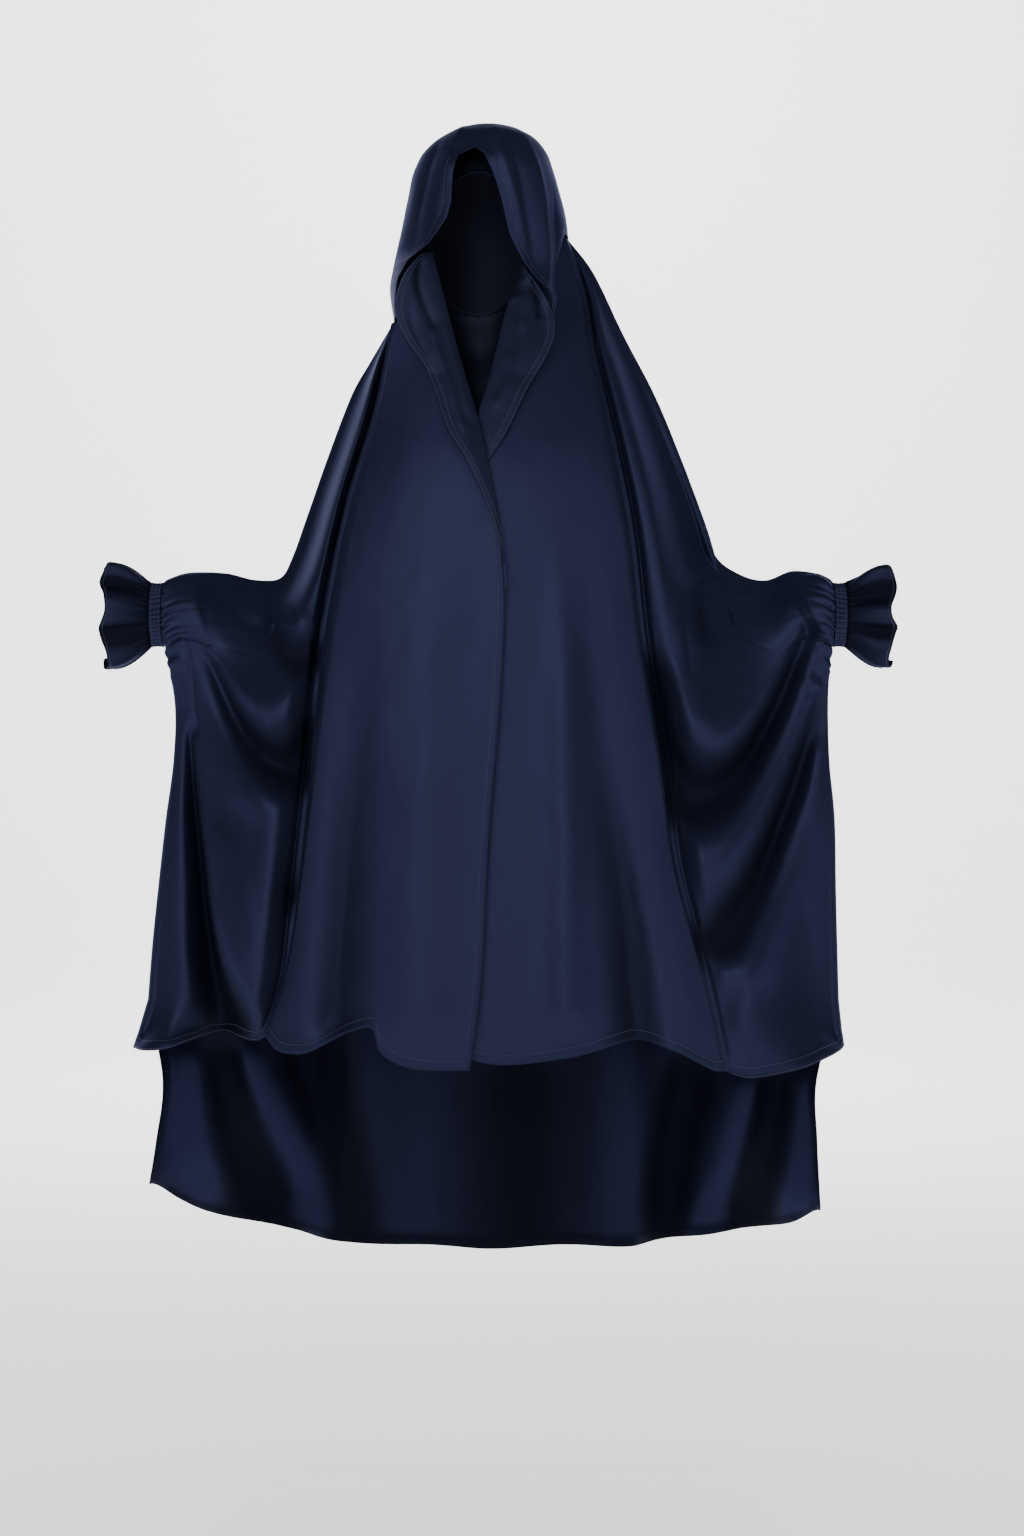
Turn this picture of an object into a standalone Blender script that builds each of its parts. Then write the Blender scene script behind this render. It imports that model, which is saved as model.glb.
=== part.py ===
"""A jilbab top, worn: loose hood, lapped front, batwing sleeves, long back and ruffled wrists.

Metres, +Z up. The origin is the crown of the head inside the hood, the front faces -Y and the
wearer's right side is at -X.
"""
import math
from collections import namedtuple

import bmesh
import bpy
import numpy as np

# Cloth
WALL = 0.0016
GAP = 0.0003
SEAM_GAP = 0.0006
SEAM_STEP = 0.004
NECK_GAP = 0.0014
LAYER_STEP = 0.0045

# Whole top, measured from the hood's highest point
CROWN_RISE = 0.013
FRONT_LENGTH = 1.158
BACK_LENGTH = 1.425
HEM_HALF_WIDTH = 0.440
FRONT_STAND = 0.190
BACK_STAND = 0.205

# Hood and face opening
HOOD_LENGTH = 0.251
HOOD_HALF_WIDTH = 0.121
HOOD_DEPTH = 0.125
RIM_HALF_WIDTH = 0.110
RIM_STAND = 0.115
RIM_DROP = 0.045
# Share of the way round over which the rim is drawn forwards, largest slope of its ends
RIM_BLEND = 0.22
RIM_LIMIT = 0.97

# Inner cap
CAP_LENGTH = 0.395
CAP_HALF_WIDTH = 0.078
CAP_FRONT = 0.085
CAP_BACK = 0.100
CAP_OFFSET = -0.005
FACE_WIDTH = 0.123
FACE_TOP_DROP = 0.070
FACE_LENGTH = 0.175
FACE_OFFSET = -0.011
FACE_CUTTER_AHEAD = 0.65

# Front drape
DRAPE_HALF_WIDTH = 0.260
OVERLAP = 0.060
PANEL_FOLD_FADE = 4.0
LAPEL_ROLL = 0.006
EDGE_CURL = 0.014
# How the fold edge curls back: shares of EDGE_CURL inwards and backwards
CURL_STEPS = (
    (0.3, 0.7),
    (1.0, 1.1),
)
LAPEL_FLARE = 0.022
# How late the drape bends back towards its fold edge: share of FRONT_LENGTH down, power
DRAPE_BEND = (
    (0.120, 1.2),
    (0.200, 1.3),
    (0.350, 2.6),
    (1.000, 2.6),
)

# Arms and wrists
RIGHT_REACH = 0.398
LEFT_REACH = 0.424
WRIST_DROP = 0.572
WRIST_STAND = 0.045
WRIST_DIAMETER = 0.077
WRIST_FADE = 1.5
ARM_ROUND = 0.048
SIDE_ROUND = 0.030
WING_FULLNESS = 0.8
CASING_WIDTH = 0.014
CASING_PUCKER = 0.0012
CASING_WAIST = 0.0015
RUFFLE_LENGTH = 0.054
RUFFLE_FLARE = 0.024
RUFFLE_WAVES = 7
RUFFLE_WAVE_DEPTH = 0.007
RUFFLE_SWAY = 0.4
RUFFLE_LAG = 1.0

# How the pieces lie on one another
LAPEL_SEAT = 0.0009
LAPEL_TOP = 0.200
LAPEL_LOOSE = 0.280
TUCK_IN = 0.0126
TUCK_OUT = 0.0182
TUCK_BACK = 0.0154
FREE_EDGE = 0.049

# Mesh density
ARC_ROWS = 5
SIDE_ROWS = 9
CORNER_ROWS = 2
SLIT_ROWS = 5
ROWS = ARC_ROWS + SIDE_ROWS + CORNER_ROWS
ROW_CROWDING = 1.25
ARM_COLUMNS = 12
WING_NECK_COLUMNS = 2
BACK_NECK_COLUMNS = 8
PANEL_COLUMNS = 7
LAPEL_ROWS = 12
LAPEL_COLUMNS = 3
HOOD_FRONT_COLUMNS = 3
CAP_ROWS = 14
CAP_CROWDING = 1.5
CAP_COLUMNS = 20
CASING_ROWS = 3
WRIST_SIDES = 24
RUFFLE_ROWS = 5
RUFFLE_SIDES = 42

# Columns: across is a share of the table's width, down of its length, ahead of its stand
Point = namedtuple("Point", "across down ahead")
# Columns: across and down as above, width of the fold and its lift as shares of FOLD_SIZE
Fold = namedtuple("Fold", "across down width lift")
FOLD_SIZE = 0.040

# The centre front depth: share of FRONT_LENGTH down, share of FRONT_STAND ahead
CENTRE = (
    (0.000, 0.420),
    (0.140, 0.450),
    (0.236, 0.550),
    (0.322, 0.710),
    (0.366, 0.785),
    (0.426, 0.845),
    (0.504, 0.885),
    (0.616, 0.916),
    (0.763, 0.947),
    (1.000, 1.000),
)

# The fold edge of the front drape, in shares of DRAPE_HALF_WIDTH
RIGHT_EDGE = (
    Point(-0.431, 0.2215, 0.44),
    Point(-0.512, 0.317, 0.53),
    Point(-0.646, 0.423, 0.63),
    Point(-0.758, 0.558, 0.67),
    Point(-0.835, 0.728, 0.69),
    Point(-0.900, 0.857, 0.68),
    Point(-0.962, 0.925, 0.65),
    Point(-1.027, 0.971, 0.60),
)
LEFT_EDGE = (
    Point(0.350, 0.1225, 0.15),
    Point(0.435, 0.181, 0.20),
    Point(0.477, 0.245, 0.38),
    Point(0.581, 0.352, 0.58),
    Point(0.658, 0.444, 0.65),
    Point(0.715, 0.558, 0.68),
    Point(0.792, 0.663, 0.70),
    Point(0.858, 0.782, 0.71),
    Point(0.950, 0.868, 0.72),
    Point(1.020, 0.925, 0.73),
    Point(1.096, 1.005, 0.74),
)

# The roll of each lapel and the centre edge below it, in shares of DRAPE_HALF_WIDTH
RIGHT_ROLL = (
    Point(-0.208, 0.190, 0.0),
    Point(-0.162, 0.231, 0.0),
    Point(-0.119, 0.267, 0.0),
    Point(-0.050, 0.321, 0.0),
    Point(-0.004, 0.364, 0.0),
    Point(0.050, 0.426, 0.0),
    Point(0.077, 0.479, 0.0),
    Point(0.085, 0.516, 0.0),
    Point(0.062, 0.621, 0.0),
    Point(0.010, 0.763, 0.0),
    Point(-0.023, 0.905, 0.0),
    Point(-0.077, 1.000, 0.0),
)
LEFT_ROLL = (
    Point(0.131, 0.187, 0.0),
    Point(0.096, 0.201, 0.0),
    Point(0.046, 0.247, 0.0),
    Point(0.000, 0.290, 0.0),
    Point(-0.042, 0.323, 0.0),
)

# The left panel's hidden edge below its lapel: across and down as above, and overlaps taken off
Hidden = namedtuple("Hidden", "across down laps")
HIDDEN_EDGE = (
    Hidden(-0.042, 0.400, 0.5),
    Hidden(0.080, 0.520, 1.0),
    Hidden(0.060, 0.700, 1.0),
    Hidden(-0.020, 0.900, 0.5),
)

# The hems of the drape, from its centre edge to its fold edge
RIGHT_DRAPE_HEM = (
    Point(-0.077, 1.000, 0.0),
    Point(-0.262, 1.000, 0.0),
    Point(-0.385, 0.996, 0.0),
    Point(-0.490, 0.982, 0.0),
    Point(-0.527, 0.958, 0.0),
    Point(-0.627, 0.963, 0.0),
    Point(-0.808, 0.983, 0.0),
    Point(-0.896, 0.987, 0.0),
    Point(-0.969, 0.984, 0.0),
    Point(-1.027, 0.971, 0.0),
)
LEFT_DRAPE_HEM = (
    Point(-0.150, 0.985, 0.0),
    Point(0.069, 0.995, 0.0),
    Point(0.400, 0.987, 0.0),
    Point(0.677, 0.972, 0.0),
    Point(0.873, 0.984, 0.0),
    Point(1.038, 1.003, 0.0),
    Point(1.096, 1.005, 0.0),
)

# The outer hemmed edge of each lapel, in shares of DRAPE_HALF_WIDTH
RIGHT_LAPEL_EDGE = (
    Point(-0.285, 0.154, 0.0),
    Point(-0.345, 0.167, 0.0),
    Point(-0.384, 0.192, 0.0),
    Point(-0.400, 0.216, 0.0),
    Point(-0.365, 0.247, 0.0),
    Point(-0.269, 0.288, 0.0),
    Point(-0.192, 0.338, 0.0),
    Point(-0.054, 0.404, 0.0),
    Point(0.040, 0.450, 0.0),
)
RIGHT_LAPEL_ROLL = (
    Point(-0.258, 0.150, 0.0),
    Point(-0.232, 0.170, 0.0),
    Point(-0.208, 0.190, 0.0),
    Point(-0.162, 0.231, 0.0),
    Point(-0.119, 0.267, 0.0),
    Point(-0.050, 0.321, 0.0),
    Point(-0.004, 0.364, 0.0),
    Point(0.050, 0.426, 0.0),
    Point(0.069, 0.458, 0.0),
)
LEFT_LAPEL_EDGE = (
    Point(0.175, 0.166, 0.0),
    Point(0.225, 0.186, 0.0),
    Point(0.275, 0.212, 0.0),
    Point(0.275, 0.242, 0.0),
    Point(0.200, 0.280, 0.0),
    Point(0.104, 0.323, 0.0),
    Point(0.000, 0.372, 0.0),
)
LEFT_LAPEL_ROLL = (
    Point(0.150, 0.164, 0.0),
    Point(0.131, 0.187, 0.0),
    Point(0.096, 0.201, 0.0),
    Point(0.046, 0.247, 0.0),
    Point(0.000, 0.290, 0.0),
    Point(-0.042, 0.323, 0.0),
    Point(-0.042, 0.360, 0.0),
)

# The seam from the neck over the arm to the wrist: shares of the reach, WRIST_DROP, WRIST_STAND
RIGHT_ARM = (
    Point(-0.372, 0.520, 0.0),
    Point(-0.425, 0.586, 0.0),
    Point(-0.497, 0.716, 0.0),
    Point(-0.563, 0.847, 0.0),
    Point(-0.611, 0.940, 0.0),
    Point(-0.650, 0.985, 0.05),
    Point(-0.729, 0.989, 0.25),
    Point(-0.817, 0.976, 0.50),
    Point(-0.930, 0.978, 0.85),
    Point(-1.000, 1.000, 1.0),
)
LEFT_ARM = (
    Point(0.311, 0.323, 0.0),
    Point(0.396, 0.454, 0.0),
    Point(0.488, 0.585, 0.0),
    Point(0.561, 0.714, 0.0),
    Point(0.627, 0.845, 0.0),
    Point(0.667, 0.935, 0.0),
    Point(0.736, 0.976, 0.10),
    Point(0.811, 0.991, 0.35),
    Point(0.887, 0.972, 0.60),
    Point(0.960, 0.981, 0.90),
    Point(1.000, 1.000, 1.0),
)

# The side seam from under the wrist to the front hem, in shares of HEM_HALF_WIDTH
RIGHT_SIDE = (
    Point(-0.880, 0.620, 0.12),
    Point(-0.884, 0.681, 0.10),
    Point(-0.907, 0.745, 0.08),
    Point(-0.927, 0.810, 0.06),
    Point(-0.945, 0.874, 0.05),
    Point(-0.959, 0.938, 0.04),
)
RIGHT_CORNER = (Point(-1.000, 0.990, 0.03),)
LEFT_SIDE = (
    Point(0.957, 0.612, 0.12),
    Point(0.961, 0.681, 0.10),
    Point(0.977, 0.745, 0.08),
    Point(0.982, 0.830, 0.06),
    Point(0.990, 0.938, 0.04),
)
LEFT_CORNER = (Point(1.004, 0.987, 0.03),)

# The front hems of the wings, from behind the drape to the side seam
RIGHT_WING_HEM = (
    Point(-0.640, 0.976, 0.50),
    Point(-0.709, 0.975, 0.32),
    Point(-0.761, 0.974, -0.06),
    Point(-0.800, 0.977, -0.08),
    Point(-0.836, 0.980, 0.12),
    Point(-0.898, 0.987, 0.30),
    Point(-0.959, 0.990, 0.22),
)
LEFT_WING_HEM = (
    Point(0.723, 1.013, 0.62),
    Point(0.857, 1.006, 0.50),
    Point(0.930, 0.998, 0.34),
    Point(0.985, 0.991, 0.16),
)

# The free sides and the hem of the back: across HEM_HALF_WIDTH, down BACK_LENGTH, behind BACK_STAND
BACK_HEM = (
    Point(-0.968, 0.929, -0.25),
    Point(-0.900, 0.950, -0.47),
    Point(-0.770, 0.972, -0.74),
    Point(-0.466, 0.993, -0.95),
    Point(0.000, 1.000, -1.00),
    Point(0.500, 0.996, -0.95),
    Point(0.724, 0.986, -0.77),
    Point(0.880, 0.971, -0.49),
    Point(0.949, 0.952, -0.25),
)
RIGHT_SLIT = (
    Point(-0.920, 0.833, -0.06),
    Point(-0.943, 0.889, -0.15),
)
LEFT_SLIT = (
    Point(0.930, 0.833, -0.06),
    Point(0.935, 0.889, -0.15),
)

# Hood sections: drop as a share of HOOD_LENGTH, half widths of HOOD_HALF_WIDTH, depths of HOOD_DEPTH
Section = namedtuple("Section", "drop right left front back")
HOOD_SECTIONS = (
    Section(0.000, 0.000, 0.000, 0.000, 0.000),
    Section(0.016, 0.230, 0.230, 0.300, 0.300),
    Section(0.036, 0.350, 0.350, 0.480, 0.480),
    Section(0.068, 0.475, 0.465, 0.640, 0.640),
    Section(0.143, 0.660, 0.605, 0.800, 0.800),
    Section(0.215, 0.744, 0.662, 0.870, 0.880),
    Section(0.367, 0.826, 0.752, 0.936, 0.976),
    Section(0.514, 0.884, 0.815, 0.952, 1.000),
    Section(0.665, 0.950, 0.835, 0.952, 0.992),
    Section(0.813, 1.000, 0.835, 0.936, 0.976),
    Section(1.000, 0.950, 0.826, 0.896, 0.944),
    Section(1.100, 0.930, 0.820, 0.880, 0.930),
)

# The hood's rim: drop of HOOD_LENGTH, right and left edge of RIM_HALF_WIDTH, ahead of RIM_STAND
Rim = namedtuple("Rim", "drop right left ahead")
RIM = (
    Rim(0.000, -0.136, -0.136, 0.96),
    Rim(0.180, -0.136, -0.136, 1.00),
    Rim(0.215, -0.310, -0.030, 0.99),
    Rim(0.291, -0.364, 0.045, 0.98),
    Rim(0.367, -0.382, 0.109, 0.97),
    Rim(0.446, -0.395, 0.159, 0.965),
    Rim(0.518, -0.436, 0.195, 0.96),
    Rim(0.598, -0.545, 0.241, 0.95),
    Rim(0.650, -0.636, 0.295, 0.94),
    Rim(0.729, -0.864, 0.395, 0.93),
    Rim(0.817, -0.973, 0.536, 0.92),
    Rim(0.906, -1.000, 0.695, 0.92),
    Rim(1.000, -1.005, 0.736, 0.91),
)

# The hood's lower edge: share of the way round from the right rim, drop as a share of HOOD_LENGTH
HOOD_HEM = (
    (0.000, 1.000),
    (0.069, 0.985),
    (0.250, 1.010),
    (0.450, 1.040),
    (0.580, 0.930),
    (0.680, 0.720),
    (0.760, 0.560),
    (0.820, 0.560),
    (0.900, 0.740),
    (1.000, 1.000),
)
HOOD_RIGHT_SIDE = 0.069
HOOD_LEFT_SIDE = 0.760
HOOD_DROPS = (0.016, 0.036, 0.068, 0.143)
HOOD_LOWER_ROWS = 10

# Inner cap sections: drop as a share of CAP_LENGTH, width of CAP_HALF_WIDTH, depth of its depths
CapSection = namedtuple("CapSection", "drop width depth")
CAP_SECTIONS = (
    CapSection(0.000, 0.00, 0.00),
    CapSection(0.030, 0.40, 0.40),
    CapSection(0.080, 0.66, 0.64),
    CapSection(0.160, 0.86, 0.84),
    CapSection(0.280, 0.98, 0.97),
    CapSection(0.400, 1.00, 1.00),
    CapSection(0.550, 0.96, 0.98),
    CapSection(0.650, 0.86, 0.92),
    CapSection(0.750, 0.74, 0.80),
    CapSection(0.850, 0.68, 0.76),
    CapSection(1.000, 0.72, 0.80),
)

# Swags and folds of the wings, in shares of HEM_HALF_WIDTH and FRONT_LENGTH
RIGHT_WING_FOLDS = (
    (
        Fold(-0.830, 0.500, 0.6, 0.1),
        Fold(-0.760, 0.560, 0.7, 0.5),
        Fold(-0.700, 0.600, 0.8, 0.6),
        Fold(-0.600, 0.640, 0.8, 0.6),
        Fold(-0.500, 0.620, 0.8, 0.4),
    ),
    (
        Fold(-0.700, 0.610, 0.6, -0.2),
        Fold(-0.640, 0.665, 0.8, -0.4),
        Fold(-0.570, 0.695, 0.8, -0.5),
        Fold(-0.490, 0.700, 0.8, -0.5),
    ),
    (
        Fold(-0.840, 0.600, 0.6, 0.1),
        Fold(-0.790, 0.700, 0.8, 0.5),
        Fold(-0.750, 0.800, 1.0, 0.9),
        Fold(-0.700, 0.870, 1.0, 0.9),
        Fold(-0.640, 0.900, 1.0, 0.7),
    ),
    (
        Fold(-0.860, 0.600, 0.4, -0.1),
        Fold(-0.830, 0.700, 0.5, -0.8),
        Fold(-0.800, 0.800, 0.6, -1.1),
        Fold(-0.790, 0.900, 0.6, -1.2),
        Fold(-0.785, 0.960, 0.6, -0.6),
    ),
    (
        Fold(-0.640, 0.700, 0.6, -0.1),
        Fold(-0.590, 0.760, 0.7, -0.4),
        Fold(-0.570, 0.820, 0.7, -0.5),
    ),
)
LEFT_WING_FOLDS = (
    (
        Fold(0.850, 0.500, 0.7, 0.1),
        Fold(0.780, 0.560, 0.8, 0.6),
        Fold(0.700, 0.620, 0.9, 0.8),
        Fold(0.620, 0.645, 0.9, 0.8),
        Fold(0.540, 0.620, 0.8, 0.5),
    ),
    (
        Fold(0.790, 0.600, 0.6, -0.3),
        Fold(0.700, 0.670, 0.8, -0.8),
        Fold(0.620, 0.700, 0.9, -1.0),
        Fold(0.520, 0.670, 0.8, -0.8),
    ),
    (
        Fold(0.870, 0.540, 0.6, 0.1),
        Fold(0.820, 0.610, 0.7, 0.5),
        Fold(0.760, 0.690, 0.8, 0.7),
        Fold(0.680, 0.780, 0.8, 0.7),
        Fold(0.610, 0.840, 0.8, 0.5),
    ),
    (
        Fold(0.860, 0.600, 0.5, -0.2),
        Fold(0.770, 0.720, 0.6, -0.7),
        Fold(0.700, 0.820, 0.7, -0.7),
        Fold(0.620, 0.880, 0.8, -0.5),
    ),
    (
        Fold(0.890, 0.620, 0.6, 0.1),
        Fold(0.850, 0.740, 0.8, 0.6),
        Fold(0.790, 0.840, 0.8, 0.6),
        Fold(0.720, 0.900, 0.8, 0.5),
    ),
)

# Soft folds of the drape, in shares of HEM_HALF_WIDTH and FRONT_LENGTH
RIGHT_PANEL_FOLDS = (
    (
        Fold(-0.310, 0.450, 0.8, -0.05),
        Fold(-0.340, 0.700, 0.9, -0.30),
        Fold(-0.370, 0.980, 0.9, -0.45),
    ),
)
LEFT_PANEL_FOLDS = (
    (
        Fold(0.270, 0.450, 0.9, -0.05),
        Fold(0.330, 0.750, 0.9, -0.25),
        Fold(0.390, 0.970, 0.9, -0.50),
    ),
)

# Folds of the back, in shares of HEM_HALF_WIDTH and BACK_LENGTH, one row for each fold
BackFold = namedtuple("BackFold", "top bottom start lift")
BACK_FOLDS = (
    BackFold(-0.330, -0.620, 0.40, 0.55),
    BackFold(-0.200, -0.420, 0.30, -0.50),
    BackFold(-0.110, -0.210, 0.25, 0.60),
    BackFold(0.000, 0.020, 0.25, -0.55),
    BackFold(0.110, 0.230, 0.25, 0.60),
    BackFold(0.210, 0.440, 0.30, -0.50),
    BackFold(0.330, 0.640, 0.40, 0.55),
)
BACK_FOLD_WIDTH = 0.045
BACK_FOLD_START = 0.6
BACK_FOLD_GROWTH = 0.7
# Shares of the back hem's length below the two ends of the neck
BACK_NECK_SHARES = (0.30, 0.70)

# Colours, roughness
NAVY = (0.020, 0.027, 0.075, 1.0)
DARK_NAVY = (0.008, 0.011, 0.030, 1.0)
SATIN_ROUGHNESS = 0.42
JERSEY_ROUGHNESS = 0.75


def clear_scene():
    """Remove every object of the open scene."""
    for item in list(bpy.data.objects):
        bpy.data.objects.remove(item, do_unlink=True)


def make_material(name, colour, roughness):
    """Return a plain cloth material."""
    material = bpy.data.materials.new(name)
    material.use_nodes = True
    shader = material.node_tree.nodes["Principled BSDF"]
    shader.inputs["Base Color"].default_value = colour
    shader.inputs["Roughness"].default_value = roughness
    shader.inputs["Metallic"].default_value = 0.0
    return material


def height_at(down, length=FRONT_LENGTH):
    """Height of a point that hangs a share of a length below the hood's top."""
    return CROWN_RISE - down * length


def table_value(rows, share):
    """Read a two-column table at a share."""
    keys = [row[0] for row in rows]
    values = [row[1] for row in rows]
    return np.interp(share, keys, values)


def points_of(rows, width, length, stand):
    """Turn table rows into points in metres."""
    return [(row.across * width, -row.ahead * stand, height_at(row.down, length)) for row in rows]


def smooth_line(points, fractions):
    """Sample a smooth line through points at fractions of its length."""
    points = np.asarray(points, dtype=float)
    padded = np.vstack([2 * points[0] - points[1], points, 2 * points[-1] - points[-2]])
    fine = []
    steps = 12
    for index in range(len(points) - 1):
        a, b, c, d = padded[index:index + 4]
        for step in range(steps):
            t = step / steps
            fine.append(0.5 * (2 * b + (c - a) * t + (2 * a - 5 * b + 4 * c - d) * t ** 2
                               + (3 * b - a - 3 * c + d) * t ** 3))
    fine.append(points[-1])
    fine = np.array(fine)
    lengths = np.concatenate([[0.0], np.cumsum(np.linalg.norm(np.diff(fine, axis=0), axis=1))])
    target = np.asarray(fractions) * lengths[-1]
    return np.stack([np.interp(target, lengths, fine[:, axis]) for axis in range(3)], axis=1)


def centre_depth(z):
    """Depth of the centre front at a height."""
    down = (CROWN_RISE - z) / FRONT_LENGTH
    return -table_value(CENTRE, down) * FRONT_STAND


def fold_lift(x, z, folds):
    """How far folds that run along lines lift the cloth at points of a front sheet."""
    total = np.zeros_like(x)
    for rows in folds:
        line = np.array([(row.across * HEM_HALF_WIDTH, height_at(row.down)) for row in rows])
        widths = [row.width * FOLD_SIZE for row in rows]
        lifts = [row.lift * FOLD_SIZE for row in rows]
        nearest = np.full_like(x, 1e9)
        lift = np.zeros_like(x)
        for index in range(len(rows) - 1):
            start, end = line[index], line[index + 1]
            run = end - start
            share = ((x - start[0]) * run[0] + (z - start[1]) * run[1]) / run.dot(run)
            share = np.clip(share, 0.0, 1.0)
            distance = np.hypot(x - start[0] - share * run[0], z - start[1] - share * run[1])
            width = widths[index] + share * (widths[index + 1] - widths[index])
            peak = lifts[index] + share * (lifts[index + 1] - lifts[index])
            closer = distance < nearest
            nearest = np.where(closer, distance, nearest)
            lift = np.where(closer, peak * np.exp(-(distance / width) ** 2), lift)
        total += lift
    return total


def patch(top, bottom, inner, outer):
    """Fill four edge lines with a grid; top and bottom run outwards, inner and outer downwards."""
    rows, columns = len(inner), len(top)
    u = arc_shares(top)[None, :, None] * 0.5 + arc_shares(bottom)[None, :, None] * 0.5
    v = arc_shares(inner)[:, None, None] * 0.5 + arc_shares(outer)[:, None, None] * 0.5
    grid = (1 - v) * top[None] + v * bottom[None] + (1 - u) * inner[:, None] + u * outer[:, None]
    grid -= (1 - u) * (1 - v) * top[0] + u * (1 - v) * top[-1]
    grid -= (1 - u) * v * bottom[0] + u * v * bottom[-1]
    assert grid.shape == (rows, columns, 3)
    return grid


def arc_shares(line):
    """Share of its length at which each point of a line lies."""
    lengths = np.concatenate([[0.0], np.cumsum(np.linalg.norm(np.diff(line, axis=0), axis=1))])
    return lengths / lengths[-1]


def round_over(distance, radius):
    """Quarter-round profile: 0 at the seam, 1 from one radius on."""
    share = np.clip(distance / radius, 0.0, 1.0)
    return np.sqrt(1.0 - (1.0 - share) ** 2)


def wall_from_grid(name, grid, material, collection, closed=False):
    """Make a cloth wall from a grid of points: open surface, then Solidify."""
    rows, columns = grid.shape[:2]
    mesh = bpy.data.meshes.new(name)
    work = bmesh.new()
    verts = [[work.verts.new(grid[j, i]) for i in range(columns)] for j in range(rows)]
    last = columns if closed else columns - 1
    for j in range(rows - 1):
        for i in range(last):
            k = (i + 1) % columns
            work.faces.new((verts[j][i], verts[j + 1][i], verts[j + 1][k], verts[j][k]))
    bmesh.ops.remove_doubles(work, verts=work.verts, dist=WALL / 20)
    bmesh.ops.triangulate(work, faces=work.faces, quad_method="SHORT_EDGE")
    bmesh.ops.recalc_face_normals(work, faces=work.faces)
    work.to_mesh(mesh)
    work.free()
    mesh.shade_smooth()
    item = bpy.data.objects.new(name, mesh)
    collection.objects.link(item)
    item.data.materials.append(material)
    wall = item.modifiers.new("Wall", "SOLIDIFY")
    wall.thickness = WALL
    wall.offset = 0.0
    wall.use_even_offset = False
    return item


def hood_section(z):
    """Half widths and depths of the hood at a height."""
    drop = (CROWN_RISE - z) / HOOD_LENGTH
    drops = [row.drop for row in HOOD_SECTIONS]
    right = np.interp(drop, drops, [row.right for row in HOOD_SECTIONS]) * HOOD_HALF_WIDTH
    left = np.interp(drop, drops, [row.left for row in HOOD_SECTIONS]) * HOOD_HALF_WIDTH
    front = np.interp(drop, drops, [row.front for row in HOOD_SECTIONS]) * HOOD_DEPTH
    back = np.interp(drop, drops, [row.back for row in HOOD_SECTIONS]) * HOOD_DEPTH
    return right, left, front, back


def ring_point(turn, right, left, front, back):
    """Point of a section at a turn: 0 is the front, a quarter the right side, a half the back."""
    angle = 2 * math.pi * turn
    half = right if turn < 0.5 else left
    depth = front if math.cos(angle) > 0 else back
    return -half * math.sin(angle), -depth * math.cos(angle)


def hood_point(way, z):
    """Point of the hood: way runs from the right rim round the back to the left rim."""
    right, left, front, back = hood_section(z)
    drop = (CROWN_RISE - z) / HOOD_LENGTH
    drops = [row.drop for row in RIM]
    rim_right = np.interp(drop, drops, [row.right for row in RIM]) * RIM_HALF_WIDTH
    rim_left = np.interp(drop, drops, [row.left for row in RIM]) * RIM_HALF_WIDTH
    ahead = np.interp(drop, drops, [row.ahead for row in RIM]) * RIM_STAND
    closed = drop < RIM_DROP / HOOD_LENGTH
    if closed:
        rim_right = rim_left = rim_right * min(1.0, front / HOOD_DEPTH)
    turn_right = math.asin(np.clip(-rim_right / right, -RIM_LIMIT, RIM_LIMIT)) / (2 * math.pi)
    turn_left = 1.0 + math.asin(np.clip(-rim_left / left, -RIM_LIMIT, RIM_LIMIT)) / (2 * math.pi)
    if closed:
        turn_left = 1.0 + turn_right
    x, y = ring_point((turn_right + way * (turn_left - turn_right)) % 1.0, right, left, front, back)
    near_rim = max(0.0, 1.0 - way / RIM_BLEND) ** 2 + max(0.0, 1.0 - (1.0 - way) / RIM_BLEND) ** 2
    reach = 0.0 if closed else min(1.0, (drop * HOOD_LENGTH - RIM_DROP) / (0.5 * RIM_DROP))
    end = turn_right if way < 0.5 else turn_left
    rim_y = ring_point(end % 1.0, right, left, front, back)[1]
    return np.array((x, y + near_rim * reach * (-ahead - rim_y), z))


def hood_hem_height(way):
    """Height of the hood's lower edge."""
    return CROWN_RISE - table_value(HOOD_HEM, way) * HOOD_LENGTH


def neck_ways():
    """Ways round the hood at which the back's neck edge and the hood have points."""
    return np.linspace(HOOD_RIGHT_SIDE, HOOD_LEFT_SIDE, BACK_NECK_COLUMNS + 1)


def build_hood(collection, material):
    """The loose hood: crown, sides and back, open at the front below the rim's top."""
    front_right = np.linspace(0.0, HOOD_RIGHT_SIDE, HOOD_FRONT_COLUMNS)
    front_left = np.linspace(HOOD_LEFT_SIDE, 1.0, HOOD_FRONT_COLUMNS + 2)
    ways = np.concatenate([front_right[:-1], neck_ways(), front_left[1:]])
    ways = np.insert(ways, 1, ways[1] * 0.5)
    rim_height = CROWN_RISE - RIM_DROP
    grid = [[np.array((0.0, 0.0, CROWN_RISE)) for way in ways]]
    for drop in HOOD_DROPS:
        grid.append([hood_point(way, CROWN_RISE - drop * HOOD_LENGTH) for way in ways])
    for row in range(HOOD_LOWER_ROWS + 1):
        share = row / HOOD_LOWER_ROWS
        line = []
        for way in ways:
            z = rim_height + share * (hood_hem_height(way) - rim_height)
            line.append(hood_point(way, z))
        grid.append(line)
    grid = np.array(grid)
    closing = 1 + len(HOOD_DROPS)
    for row in range(closing + 1):
        middle = (grid[row, 0] + grid[row, -1]) / 2
        grid[row, 0] = middle
        grid[row, -1] = middle
    return wall_from_grid("hood", grid, material, collection)


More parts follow.
